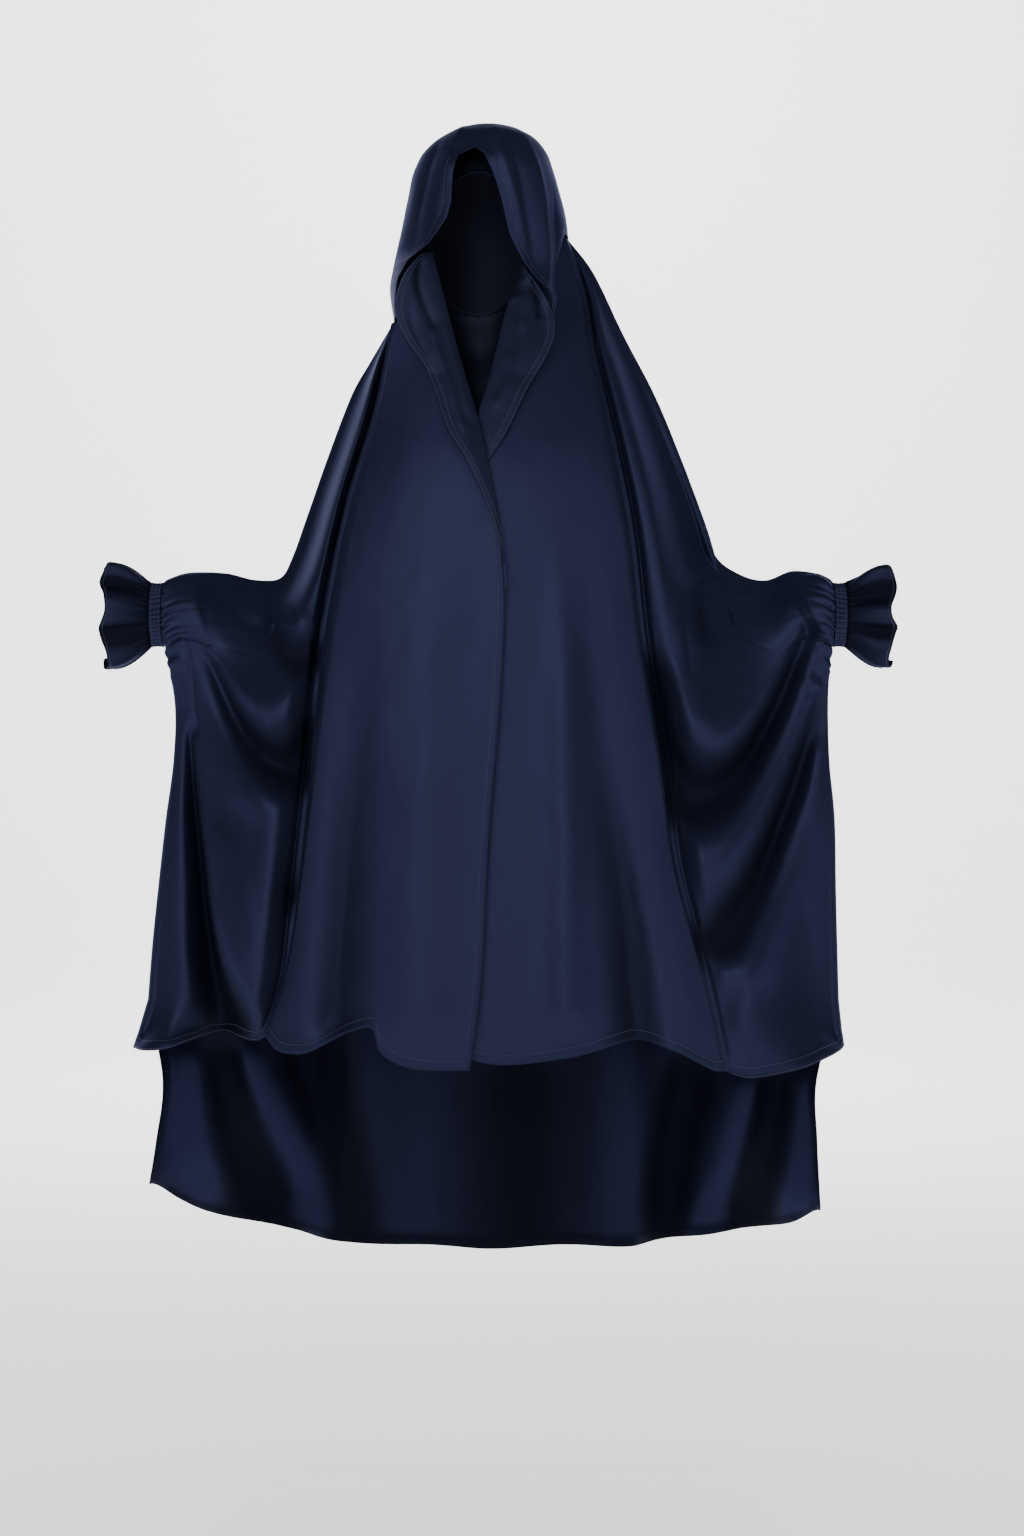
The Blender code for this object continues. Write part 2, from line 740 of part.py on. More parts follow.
def build_cap(collection, cutters, material):
    """The close cap under the hood, with its face opening, chin cover and neck."""
    drops = [row.drop for row in CAP_SECTIONS]
    grid = []
    for row in range(CAP_ROWS + 1):
        share = (row / CAP_ROWS) ** CAP_CROWDING
        width = np.interp(share, drops, [part.width for part in CAP_SECTIONS])
        depth = np.interp(share, drops, [part.depth for part in CAP_SECTIONS])
        line = []
        for column in range(CAP_COLUMNS):
            x, y = ring_point(column / CAP_COLUMNS, CAP_HALF_WIDTH * width, CAP_HALF_WIDTH * width,
                              CAP_FRONT * depth, CAP_BACK * depth)
            line.append((x + CAP_OFFSET * width, y, CROWN_RISE - WALL - GAP - share * CAP_LENGTH))
        grid.append(line)
    cap = wall_from_grid("inner_cap", np.array(grid), material, collection, closed=True)
    bpy.ops.mesh.primitive_cylinder_add(vertices=28, radius=0.5, depth=CAP_FRONT)
    hole = bpy.context.object
    hole.name = "face_cutter"
    hole.rotation_euler = (math.pi / 2, 0.0, 0.0)
    hole.scale = (FACE_WIDTH, FACE_LENGTH, 1.0)
    middle = CROWN_RISE - FACE_TOP_DROP - FACE_LENGTH / 2
    hole.location = (FACE_OFFSET, -FACE_CUTTER_AHEAD * CAP_FRONT, middle)
    hole.hide_render = True
    hole.display_type = "WIRE"
    for owner in list(hole.users_collection):
        owner.objects.unlink(hole)
    cutters.objects.link(hole)
    cut = cap.modifiers.new("Face opening", "BOOLEAN")
    cut.operation = "DIFFERENCE"
    cut.object = hole
    return cap


def row_shares():
    """Shares of the way down at which the front sheets have their rows."""
    return (np.arange(ROWS + 1) / ROWS) ** ROW_CROWDING


def edge_line(rows):
    """The drape's fold edge at the shared rows."""
    points = points_of(rows, DRAPE_HALF_WIDTH, FRONT_LENGTH, FRONT_STAND)
    return smooth_line(points, row_shares())


def panel_depth(x, z, centre_x, edge):
    """Depth of the drape between its centre line and its fold edge."""
    edge_x = np.interp(-z, -edge[:, 2], edge[:, 0])
    edge_y = np.interp(-z, -edge[:, 2], edge[:, 1])
    share = np.clip((x - centre_x) / (edge_x - centre_x), 0.0, 1.0)
    middle = centre_depth(z)
    power = table_value(DRAPE_BEND, (CROWN_RISE - z) / FRONT_LENGTH)
    return middle + (edge_y - middle) * share ** power


def build_panel(name, collection, material, edge_rows, inner_rows, hem_rows, folds, layer):
    """One half of the front drape, from its centre edge to the curled fold edge."""
    edge = edge_line(edge_rows)
    side = np.sign(edge[-1, 0])
    shares = row_shares()
    inner = smooth_line(points_of(inner_rows, DRAPE_HALF_WIDTH, FRONT_LENGTH, 0.0), shares)
    columns = np.linspace(0.0, 1.0, PANEL_COLUMNS + 1)
    top = inner[0] + (edge[0] - inner[0]) * columns[:, None]
    hem = smooth_line(points_of(hem_rows, DRAPE_HALF_WIDTH, FRONT_LENGTH, 0.0), columns)
    hem[0] = inner[-1]
    hem[-1] = edge[-1]
    grid = patch(top, hem, inner, edge)
    x, z = grid[:, :, 0], grid[:, :, 2]
    depth = panel_depth(x, z, 0.0, edge)
    fade = np.clip((1.0 - columns)[None, :] * PANEL_FOLD_FADE, 0.0, 1.0)
    grid[:, :, 1] = depth - fade * fold_lift(x, z, folds) - layer * LAYER_STEP
    grid[:, -1] = edge
    for inwards, backwards in CURL_STEPS:
        curl = edge + np.array((-side * inwards, backwards, 0.0)) * EDGE_CURL
        grid = np.concatenate([grid, curl[:, None]], axis=1)
    return wall_from_grid(name, grid, material, collection)


def hidden_overlap(rows):
    """The left panel's inner edge: it follows the lapel's roll, then runs down behind the right."""
    points = [Point(row.across, row.down, 0.0) for row in rows]
    lap = OVERLAP / DRAPE_HALF_WIDTH
    points += [Point(row.across - row.laps * lap, row.down, 0.0) for row in HIDDEN_EDGE]
    points.append(Point(LEFT_DRAPE_HEM[0].across, LEFT_DRAPE_HEM[0].down, 0.0))
    return points


def build_lapel(name, collection, material, roll_rows, edge_rows, drape_rows, layer):
    """One turned-back lapel, lying on its panel from the roll to the hemmed edge."""
    drape = edge_line(drape_rows)
    shares = np.linspace(0.0, 1.0, LAPEL_ROWS + 1)
    roll = smooth_line(points_of(roll_rows, DRAPE_HALF_WIDTH, FRONT_LENGTH, 0.0), shares)
    edge = smooth_line(points_of(edge_rows, DRAPE_HALF_WIDTH, FRONT_LENGTH, 0.0), shares)
    columns = np.linspace(0.0, 1.0, LAPEL_COLUMNS + 1)[None, :, None]
    grid = roll[:, None] * (1 - columns) + edge[:, None] * columns
    x, z = grid[:, :, 0], grid[:, :, 2]
    fade = np.sin(math.pi * shares)[:, None]
    seated = layer * LAYER_STEP + WALL + LAPEL_SEAT
    proud = seated + LAPEL_ROLL * fade * np.sin(math.pi * columns[:, :, 0] / 2)
    down = (CROWN_RISE - z) / FRONT_LENGTH
    near_rim = np.clip((LAPEL_LOOSE - down) / (LAPEL_LOOSE - LAPEL_TOP), 0.0, 1.0)
    grid[:, :, 1] = panel_depth(x, z, 0.0, drape) - proud - LAPEL_FLARE * near_rim * columns[:, :, 0]
    return wall_from_grid(name, grid, material, collection)


def hood_hem_point(way):
    """Point of the body's neck edge, just below the hood's lower edge."""
    return hood_point(way, hood_hem_height(way)) - np.array((0.0, 0.0, NECK_GAP))


def arm_line(rows, reach, way):
    """The arm seam from the hood's side to the wrist, at the points that both sheets share."""
    points = [hood_hem_point(way)] + points_of(rows, reach, WRIST_DROP, WRIST_STAND)
    return smooth_line(points, np.linspace(0.0, 1.0, ARM_COLUMNS + 1))


def wrist_arc(side, reach, facing):
    """The wrist opening's height at each row, and how far it bulges to the front or the back."""
    radius = WRIST_DIAMETER / 2
    angles = math.pi * np.arange(ARC_ROWS + 1) / ARC_ROWS
    line = np.zeros((ARC_ROWS + 1, 3))
    line[:, 0] = side * reach
    line[:, 1] = -WRIST_STAND
    line[:, 2] = CROWN_RISE - WRIST_DROP - radius + radius * np.cos(angles)
    return line, facing * radius * np.sin(angles)


def outer_line(side, reach, side_rows, facing, tail, tail_rows):
    """The outer edge of a sheet: half of the wrist opening, the side seam, then the tail."""
    arc, bulge = wrist_arc(side, reach, facing)
    seam = points_of(side_rows, HEM_HALF_WIDTH, FRONT_LENGTH, FRONT_STAND)
    seam = smooth_line([arc[-1]] + seam, np.linspace(0.0, 1.0, SIDE_ROWS + 1))
    end = smooth_line([seam[-1]] + tail, np.linspace(0.0, 1.0, tail_rows + 1))
    bulge = np.concatenate([bulge, np.zeros(SIDE_ROWS + tail_rows)])
    return np.concatenate([arc, seam[1:], end[1:]]), bulge


def wrist_bulge(bulge, distance):
    """Depth that the round wrist opening adds to a sheet, fading away from it."""
    return bulge[:, None] * np.clip(1.0 - distance / (WRIST_FADE * WRIST_DIAMETER), 0.0, 1.0) ** 2


def with_seams(grid, outer_ends, facing, neck_columns, neck_ends):
    """Add a row beside the arm seam and a column beside each outer end, square to each."""
    step = grid[0].copy()
    step[:, 1] += facing * SEAM_STEP
    step[neck_columns, 1] = grid[0][neck_columns, 1]
    step[neck_columns, 2] -= SEAM_STEP
    step[neck_ends, 1] += facing * SEAM_STEP
    grid[0, neck_ends, 1] += facing * SEAM_GAP
    step[neck_ends, 1] += facing * SEAM_GAP
    grid = np.concatenate([grid[:1], step[None], grid[1:]], axis=0)
    for column, side in outer_ends:
        grid[ARC_ROWS + 1, column, 1] += facing * SEAM_GAP
        beside = grid[:, column].copy()
        beside[:ARC_ROWS + 2, 0] -= side * SEAM_STEP
        beside[ARC_ROWS + 1:, 1] += facing * SEAM_STEP
        if column == 0:
            grid = np.concatenate([grid[:, :1], beside[:, None], grid[:, 1:]], axis=1)
        else:
            grid = np.concatenate([grid[:, :-1], beside[:, None], grid[:, -1:]], axis=1)
    return grid


def build_wing(name, collection, material, side, reach, way, arm_rows, side_rows, corner, hem_rows,
               edge_rows, folds):
    """The front of one batwing sleeve, hung from the arm seam down to the front hem."""
    edge = edge_line(edge_rows)
    inner = edge + np.array((-side * TUCK_IN, TUCK_BACK + WALL + GAP, 0.0))
    tail = points_of(corner, HEM_HALF_WIDTH, FRONT_LENGTH, FRONT_STAND)
    tuck = inner + np.array((side * TUCK_OUT, 0.0, 0.0))
    outer, bulge = outer_line(side, reach, side_rows, -1, tail, CORNER_ROWS)
    arm = arm_line(arm_rows, reach, way)
    neck_shares = (np.arange(WING_NECK_COLUMNS) / WING_NECK_COLUMNS)[:, None]
    neck = tuck[0] * (1 - neck_shares) + arm[0] * neck_shares
    top = np.concatenate([neck, arm])
    hem = points_of(hem_rows, HEM_HALF_WIDTH, FRONT_LENGTH, FRONT_STAND)
    hem = smooth_line([tuck[-1]] + hem + [outer[-1]], np.linspace(0.0, 1.0, len(top)))
    grid = patch(top, hem, tuck, outer)
    below = np.linalg.norm(grid - grid[:1], axis=2)
    inside = np.linalg.norm(grid - grid[:, -1:], axis=2)
    behind = np.linalg.norm(grid - grid[:, :1], axis=2)
    x, z = grid[:, :, 0], grid[:, :, 2]
    fullness = ARM_ROUND * round_over(below, ARM_ROUND) * round_over(inside, SIDE_ROUND)
    free = np.clip(behind / FREE_EDGE, 0.0, 1.0)
    seam_fade = round_over(below, 2 * ARM_ROUND) * round_over(inside, SIDE_ROUND)
    grid[:, :, 1] -= free * (fullness * WING_FULLNESS + seam_fade * fold_lift(x, z, folds))
    grid[:, :, 1] += wrist_bulge(bulge, inside)
    grid[:, 1:, 1] -= SEAM_GAP / 2
    grid = np.concatenate([inner[:, None], grid], axis=1)
    corner_column = WING_NECK_COLUMNS + 1
    grid = with_seams(grid, [(-1, side)], -1, slice(0, corner_column + 1), [corner_column])
    return wall_from_grid(name, grid, material, collection)


def build_back(collection, material):
    """The long back, from wrist to wrist, joined to the hood at the neck."""
    right = arm_line(RIGHT_ARM, RIGHT_REACH, HOOD_RIGHT_SIDE)[::-1]
    left = arm_line(LEFT_ARM, LEFT_REACH, HOOD_LEFT_SIDE)
    neck = np.array([hood_hem_point(way) for way in neck_ways()])
    top = np.concatenate([right[:-1], neck, left[1:]])
    hem = points_of(BACK_HEM, HEM_HALF_WIDTH, BACK_LENGTH, BACK_STAND)
    hem_shares = np.interp(np.arange(len(top)),
                           [0, ARM_COLUMNS, ARM_COLUMNS + BACK_NECK_COLUMNS, len(top) - 1],
                           [0.0, *BACK_NECK_SHARES, 1.0])
    hem = smooth_line(hem, hem_shares)
    sides, bulges = [], []
    for side, reach, rows, slit, corner in (
        (-1, RIGHT_REACH, RIGHT_SIDE, RIGHT_SLIT, hem[0]),
        (1, LEFT_REACH, LEFT_SIDE, LEFT_SLIT, hem[-1]),
    ):
        tail = points_of(slit, HEM_HALF_WIDTH, BACK_LENGTH, BACK_STAND) + [corner]
        line, bulge = outer_line(side, reach, rows, 1, tail, SLIT_ROWS)
        sides.append(line)
        bulges.append(bulge)
    grid = patch(top, hem, sides[0], sides[1])
    below = np.linalg.norm(grid - grid[:1], axis=2)
    to_right = np.linalg.norm(grid - grid[:, :1], axis=2)
    to_left = np.linalg.norm(grid - grid[:, -1:], axis=2)
    x, z = grid[:, :, 0], grid[:, :, 2]
    rounding = round_over(below, ARM_ROUND) * round_over(to_right, SIDE_ROUND)
    rounding *= round_over(to_left, SIDE_ROUND)
    from_neck = np.abs(np.arange(len(top)) - (len(top) - 1) / 2) - BACK_NECK_COLUMNS / 2
    over_arm = np.clip((from_neck + 1) / 3, 0.0, 1.0)[None, :]
    grid[:, :, 1] += ARM_ROUND * rounding * over_arm
    grid[:, :, 1] += wrist_bulge(bulges[0], to_right) + wrist_bulge(bulges[1], to_left)
    down = (CROWN_RISE - z) / BACK_LENGTH
    for fold in BACK_FOLDS:
        middle = (fold.top + (fold.bottom - fold.top) * down) * HEM_HALF_WIDTH
        growth = np.clip((down - fold.start) / (1.0 - fold.start), 0.0, 1.0)
        width = BACK_FOLD_WIDTH * (BACK_FOLD_START + BACK_FOLD_GROWTH * growth)
        lift = fold.lift * FOLD_SIZE * growth
        grid[:, :, 1] += lift * np.exp(-((x - middle) / width) ** 2) * rounding
    grid[:, :, 1] += SEAM_GAP / 2
    neck_end = ARM_COLUMNS + BACK_NECK_COLUMNS
    neck_columns = slice(ARM_COLUMNS, neck_end + 1)
    grid = with_seams(grid, [(0, -1), (-1, 1)], 1, neck_columns, [ARM_COLUMNS, neck_end])
    return wall_from_grid("back_panel", grid, material, collection)


def build_casing(name, collection, material, side, reach):
    """The elastic casing at a wrist: a short puckered tube."""
    start = reach + WALL / 2 + GAP
    centre_z = CROWN_RISE - WRIST_DROP - WRIST_DIAMETER / 2
    grid = []
    for row in range(CASING_ROWS):
        share = row / (CASING_ROWS - 1)
        x = side * (start + CASING_WIDTH * share)
        line = []
        for column in range(WRIST_SIDES):
            angle = 2 * math.pi * column / WRIST_SIDES
            pucker = CASING_PUCKER * (-1 if column % 2 else 1)
            radius = WRIST_DIAMETER / 2 + pucker - CASING_WAIST * math.sin(math.pi * share)
            line.append((x, -WRIST_STAND + radius * math.sin(angle), centre_z + radius * math.cos(angle)))
        grid.append(line)
    return wall_from_grid(name, np.array(grid), material, collection, closed=True)


def build_ruffle(name, collection, material, side, reach):
    """The ruffle beyond a casing: a flared tube that waves more towards its free edge."""
    start = reach + WALL / 2 + CASING_WIDTH + 2 * GAP + WALL / 2
    centre_z = CROWN_RISE - WRIST_DROP - WRIST_DIAMETER / 2
    grid = []
    for row in range(RUFFLE_ROWS):
        share = row / (RUFFLE_ROWS - 1)
        line = []
        for column in range(RUFFLE_SIDES):
            angle = 2 * math.pi * column / RUFFLE_SIDES
            flare = RUFFLE_FLARE * math.sin(share * math.pi / 2)
            wave = RUFFLE_WAVE_DEPTH * share * math.cos(RUFFLE_WAVES * angle)
            sway = RUFFLE_WAVE_DEPTH * share * math.sin(RUFFLE_WAVES * angle + RUFFLE_LAG)
            radius = WRIST_DIAMETER / 2 + flare + wave
            x = side * (start + RUFFLE_LENGTH * share + RUFFLE_SWAY * sway * share)
            line.append((x, -WRIST_STAND + radius * math.sin(angle), centre_z + radius * math.cos(angle)))
        grid.append(line)
    return wall_from_grid(name, np.array(grid), material, collection, closed=True)


def main():
    """Build every piece of the top."""
    clear_scene()
    top = bpy.data.collections.new("jilbab_top")
    cutters = bpy.data.collections.new("cutters")
    for owner in (top, cutters):
        bpy.context.scene.collection.children.link(owner)
    satin = make_material("navy_satin", NAVY, SATIN_ROUGHNESS)
    jersey = make_material("dark_jersey", DARK_NAVY, JERSEY_ROUGHNESS)
    build_hood(top, satin)
    build_cap(top, cutters, jersey)
    build_panel("left_front_panel", top, satin, LEFT_EDGE, hidden_overlap(LEFT_ROLL), LEFT_DRAPE_HEM,
                LEFT_PANEL_FOLDS, 0)
    build_lapel("left_lapel", top, satin, LEFT_LAPEL_ROLL, LEFT_LAPEL_EDGE, LEFT_EDGE, 0)
    build_panel("right_front_panel", top, satin, RIGHT_EDGE, RIGHT_ROLL, RIGHT_DRAPE_HEM,
                RIGHT_PANEL_FOLDS, 2)
    build_lapel("right_lapel", top, satin, RIGHT_LAPEL_ROLL, RIGHT_LAPEL_EDGE, RIGHT_EDGE, 2)
    build_wing("right_wing", top, satin, -1, RIGHT_REACH, HOOD_RIGHT_SIDE, RIGHT_ARM, RIGHT_SIDE,
               RIGHT_CORNER, RIGHT_WING_HEM, RIGHT_EDGE, RIGHT_WING_FOLDS)
    build_wing("left_wing", top, satin, 1, LEFT_REACH, HOOD_LEFT_SIDE, LEFT_ARM, LEFT_SIDE,
               LEFT_CORNER, LEFT_WING_HEM, LEFT_EDGE, LEFT_WING_FOLDS)
    build_back(top, satin)
    for name, side, reach in (("right", -1, RIGHT_REACH), ("left", 1, LEFT_REACH)):
        build_casing(name + "_casing", top, satin, side, reach)
        build_ruffle(name + "_ruffle", top, satin, side, reach)


main()
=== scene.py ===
"""Looks of a jilbab top: hood, cap, lapped front, batwing sleeves, long back and ruffled wrists.

Metres, +Z up, the front faces -Y. The wearer's right side is at -X. Heights are counted from the
crown inside the hood.
"""
from __future__ import annotations

import logging
import math
from dataclasses import dataclass, field
from enum import Enum
from typing import Sequence

import bmesh
import bpy
import numpy as np
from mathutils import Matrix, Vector

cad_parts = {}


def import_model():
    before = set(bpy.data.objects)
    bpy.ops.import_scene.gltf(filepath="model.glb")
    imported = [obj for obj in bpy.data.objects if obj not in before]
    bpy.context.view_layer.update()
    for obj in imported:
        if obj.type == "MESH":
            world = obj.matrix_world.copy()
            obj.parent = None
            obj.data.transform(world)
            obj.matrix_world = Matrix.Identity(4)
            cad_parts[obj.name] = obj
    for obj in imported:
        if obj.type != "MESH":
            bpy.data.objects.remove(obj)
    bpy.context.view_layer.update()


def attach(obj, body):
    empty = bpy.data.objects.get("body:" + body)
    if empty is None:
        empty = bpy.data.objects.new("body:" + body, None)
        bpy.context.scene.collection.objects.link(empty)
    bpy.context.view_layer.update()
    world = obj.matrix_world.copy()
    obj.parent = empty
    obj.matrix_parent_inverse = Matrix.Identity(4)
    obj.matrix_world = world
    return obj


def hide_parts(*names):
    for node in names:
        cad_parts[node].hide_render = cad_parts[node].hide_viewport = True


Array = np.ndarray
Rows = Sequence[Sequence[float]]
LOG = logging.getLogger("jilbab_top")
# Scale of a wave texture whose bands are one metre apart
BAND_SCALE = 0.314
# Points closer than this are one point
WELD = 2e-5


class Side(Enum):
    """A side of the wearer, as the sign of X."""

    RIGHT = -1
    LEFT = 1

    @property
    def word(self) -> str:
        """Name used in piece names."""
        return self.name.lower()


@dataclass(frozen=True)
class Cut:
    """Sizes that several pieces share."""

    crown_rise: float = 0.013
    front_length: float = 1.158
    back_length: float = 1.425
    hem_half: float = 0.440
    front_stand: float = 0.190
    back_stand: float = 0.205
    drape_half: float = 0.260
    wrist_drop: float = 0.572
    wrist_stand: float = 0.045
    wrist_radius: float = 0.0385
    arm_round: float = 0.048
    side_round: float = 0.030
    layer_step: float = 0.0045
    cloth: float = 0.0009
    gap: float = 0.0006
    hem_proud: float = 0.0006
    thread_proud: float = 0.0008
    thread_lift: float = 0.0003
    wrist_fade: float = 0.1155

    def points(self, rows: Rows, width: float, length: float, stand: float) -> Array:
        """Turn rows of (across, down, ahead) shares into points.

        Args:
            rows: The table of shares.
            width: What across is a share of.
            length: What down is a share of.
            stand: What ahead is a share of.

        Returns:
            One point a row.
        """
        table = np.array([(*row, 0.0)[:3] for row in rows])
        return np.stack([table[:, 0] * width, -table[:, 2] * stand,
                         self.crown_rise - table[:, 1] * length], axis=1)


CUT = Cut()


def smooth_rows(rows: Rows | Array, shares: Array, steps: int = 16) -> Array:
    """Sample a smooth line through rows of numbers at shares of its length.

    Args:
        rows: Points, or points with more columns after the first three.
        shares: Shares of the length, 0 to 1.
        steps: Fine steps between two rows.

    Returns:
        One row for each share.
    """
    rows = np.asarray(rows, dtype=float)
    padded = np.vstack([2 * rows[0] - rows[1], rows, 2 * rows[-1] - rows[-2]])
    t = (np.arange(steps) / steps)[None, :, None]
    a, b, c, d = (padded[k:len(padded) - 3 + k][:, None] for k in range(4))
    fine = 0.5 * (2 * b + (c - a) * t + (2 * a - 5 * b + 4 * c - d) * t ** 2
                  + (3 * b - a - 3 * c + d) * t ** 3)
    fine = np.vstack([fine.reshape(-1, rows.shape[1]), rows[-1:]])
    lengths = run_lengths(fine[:, :3])
    target = np.asarray(shares) * lengths[-1]
    return np.stack([np.interp(target, lengths, fine[:, k]) for k in range(rows.shape[1])], axis=1)


def run_lengths(line: Array) -> Array:
    """Length along a line at each of its points."""
    return np.concatenate([[0.0], np.cumsum(np.linalg.norm(np.diff(line, axis=0), axis=1))])


def soft_value(rows: Rows, at: Array | float, column: int = 1) -> Array:
    """Read a column of a table smoothly.

    Args:
        rows: The table, its first column rising.
        at: Where to read it.
        column: Which column to read.

    Returns:
        The smooth values.
    """
    keys = np.array([row[0] for row in rows], dtype=float)
    values = np.array([row[column] for row in rows], dtype=float)
    slopes = np.gradient(values, keys)
    at = np.clip(at, keys[0], keys[-1])
    i = np.clip(np.searchsorted(keys, at, side="right") - 1, 0, len(keys) - 2)
    h = keys[i + 1] - keys[i]
    t = (at - keys[i]) / h
    return ((2 * t ** 3 - 3 * t ** 2 + 1) * values[i] + (t ** 3 - 2 * t ** 2 + t) * h * slopes[i]
            + (3 * t ** 2 - 2 * t ** 3) * values[i + 1] + (t ** 3 - t ** 2) * h * slopes[i + 1])


def plain_value(rows: Rows, at: Array | float, column: int = 1) -> Array:
    """Read a column of a table along straight lines between its rows."""
    return np.interp(at, [row[0] for row in rows], [row[column] for row in rows])


def coons(top: Array, bottom: Array, inner: Array, outer: Array) -> Array:
    """Fill four edge lines with a grid.

    Args:
        top: Upper edge, outwards.
        bottom: Lower edge, outwards.
        inner: Inner edge, downwards.
        outer: Outer edge, downwards.

    Returns:
        Rows by columns of points.
    """
    u = _mean_shares(top, bottom)[None, :, None]
    v = _mean_shares(inner, outer)[:, None, None]
    grid = (1 - v) * top[None] + v * bottom[None] + (1 - u) * inner[:, None] + u * outer[:, None]
    grid -= (1 - u) * (1 - v) * top[0] + u * (1 - v) * top[-1]
    return grid - (1 - u) * v * bottom[0] - u * v * bottom[-1]


def _mean_shares(first: Array, second: Array) -> Array:
    """Mean share of the length at each point of two lines."""
    a, b = run_lengths(first), run_lengths(second)
    return 0.5 * (a / a[-1] + b / b[-1])


def rounded(distance: Array, radius: float) -> Array:
    """Quarter-round profile: 0 at a seam, 1 from one radius on."""
    share = np.clip(distance / radius, 0.0, 1.0)
    return np.sqrt(1.0 - (1.0 - share) ** 2)


def eased(value: Array, low: float, high: float) -> Array:
    """Smooth step from 0 at low to 1 at high."""
    t = np.clip((value - low) / (high - low), 0.0, 1.0)
    return t * t * (3 - 2 * t)


def ripple(x: Array, z: Array, seed: float, fine: float, tall: float) -> Array:
    """Gentle uneven waves that run mostly downwards, about -1 to 1.

    Args:
        x: Places across.
        z: Heights.
        seed: Picks another set of waves.
        fine: Waves a metre across.
        tall: Waves a metre downwards.

    Returns:
        The waves' height at each place.
    """
    total = np.zeros_like(x)
    for k in range(5):
        phase = seed * 2.7 + k * 1.9
        turn = 0.35 * math.sin(seed + 2.3 * k)
        total += np.sin(2 * math.pi * (fine * (0.6 + 0.27 * k) * (x + turn * z)
                                       + 0.35 * np.sin(2 * math.pi * tall * z * (0.5 + 0.3 * k) + phase))
                        + phase) / (1.4 + 0.5 * k)
    return total / 2.4


@dataclass(frozen=True)
class Fold:
    """A fold along a line on a front or back view.

    Args:
        route: Rows of x, z, lift and width, in millimetres.
        crisp: How sharp its crest is, 0 to 1.
        lean: How much wider one side of it is.
        blend: Distance over which neighbouring parts of the line count together.
    """

    route: Rows
    crisp: float = 0.15
    lean: float = 0.0
    blend: float = 0.006

    def line(self, steps: int) -> Array:
        """Points along the fold in metres: x, nothing, z, lift and width.

        Args:
            steps: Points to each row of the route.

        Returns:
            The points.
        """
        rows = np.array([(row[0], 0.0, row[1], row[2], row[3]) for row in self.route]) / 1000
        return smooth_rows(rows, np.linspace(0, 1, steps * len(rows)), 6)

    def lift(self, x: Array, z: Array) -> Array:
        """How far the fold lifts the cloth, softly blended along its line.

        Args:
            x: Places across.
            z: Heights.

        Returns:
            Lift at each place.
        """
        line = self.line(14)
        start, run = line[:-1], np.diff(line, axis=0)
        dx, dz = x.ravel()[None] - start[:, :1], z.ravel()[None] - start[:, 2:3]
        squared = (run[:, 0] ** 2 + run[:, 2] ** 2)[:, None]
        share = np.clip((dx * run[:, :1] + dz * run[:, 2:3]) / squared, 0, 1)
        side = dx * run[:, 2:3] - dz * run[:, :1]
        distance = np.hypot(dx - share * run[:, :1], dz - share * run[:, 2:3])
        pull = np.exp((distance.min(axis=0) - distance) / self.blend)
        pull /= pull.sum(axis=0)
        height, width, gap, tilt = ((pull * values).sum(axis=0) for values in (
            start[:, 3:4] + share * run[:, 3:4], start[:, 4:5] + share * run[:, 4:5], distance,
            side / np.sqrt(squared)))
        ratio = gap / (width * (1 + self.lean * np.tanh(tilt / width)))
        shape = (1 - self.crisp) * np.exp(-ratio ** 2) + self.crisp * np.exp(-1.7 * ratio)
        return (height * shape).reshape(x.shape)


def all_folds(folds: Sequence[Fold], x: Array, z: Array) -> Array:
    """Lift of several folds together."""
    total = np.zeros_like(x)
    for fold in folds:
        total += fold.lift(x, z)
    return total


def swags(folds: Sequence[Fold], x: Array, z: Array, slack: float = 0.6) -> Array:
    """Hanging swags: the cloth runs softly from each crest to the next trough.

    Args:
        folds: Lines of the crests and troughs.
        x: Places across.
        z: Heights.
        slack: How soon the cloth goes flat away from every line.

    Returns:
        Lift at each place.
    """
    total, weight = np.zeros_like(x), np.full_like(x, slack)
    for fold in folds:
        line = fold.line(7)
        steps = np.hypot(np.gradient(line[:, 0]), np.gradient(line[:, 2]))
        for place, step in zip(line, steps):
            far = ((x - place[0]) ** 2 + (z - place[2]) ** 2) / place[4] ** 2
            pull = step / place[4] / (far + 0.14) ** 2
            total += pull * place[3]
            weight += pull
    return softened(total / weight, 2)


def gap_to(line: Array, x: Array, z: Array) -> Array:
    """Distance of points of the front view to a line.

    Args:
        line: Points of the line.
        x: Places across.
        z: Heights.

    Returns:
        The distances.
    """
    best = np.full_like(x, 1e9)
    for a, b in zip(line[:-1, ::2], line[1:, ::2]):
        run = b - a
        share = np.clip(((x - a[0]) * run[0] + (z - a[1]) * run[1]) / (run.dot(run) + 1e-12), 0, 1)
        best = np.minimum(best, np.hypot(x - a[0] - share * run[0], z - a[1] - share * run[1]))
    return best


def spread_depth(grid: Array) -> Array:
    """Depth inside a grid's outline, drawn smoothly from the outline alone.

    Args:
        grid: Rows by columns of points.

    Returns:
        The depths, which meet the outline's own.
    """
    x, z = grid[..., 0], grid[..., 2]
    total, weight = np.zeros_like(x), np.zeros_like(x)
    lines = (grid[0], grid[-1], grid[:, 0], grid[:, -1])
    for line in lines:
        steps = np.hypot(np.gradient(line[:, 0]), np.gradient(line[:, 2]))
        for point, step in zip(line, steps):
            pull = step / ((x - point[0]) ** 2 + (z - point[2]) ** 2 + 4e-6) ** 1.5
            total += pull * point[1]
            weight += pull
    border = np.minimum.reduce([gap_to(line, x, z) for line in lines])
    return grid[..., 1] + (total / weight - grid[..., 1]) * eased(border, 0.0, 0.012)


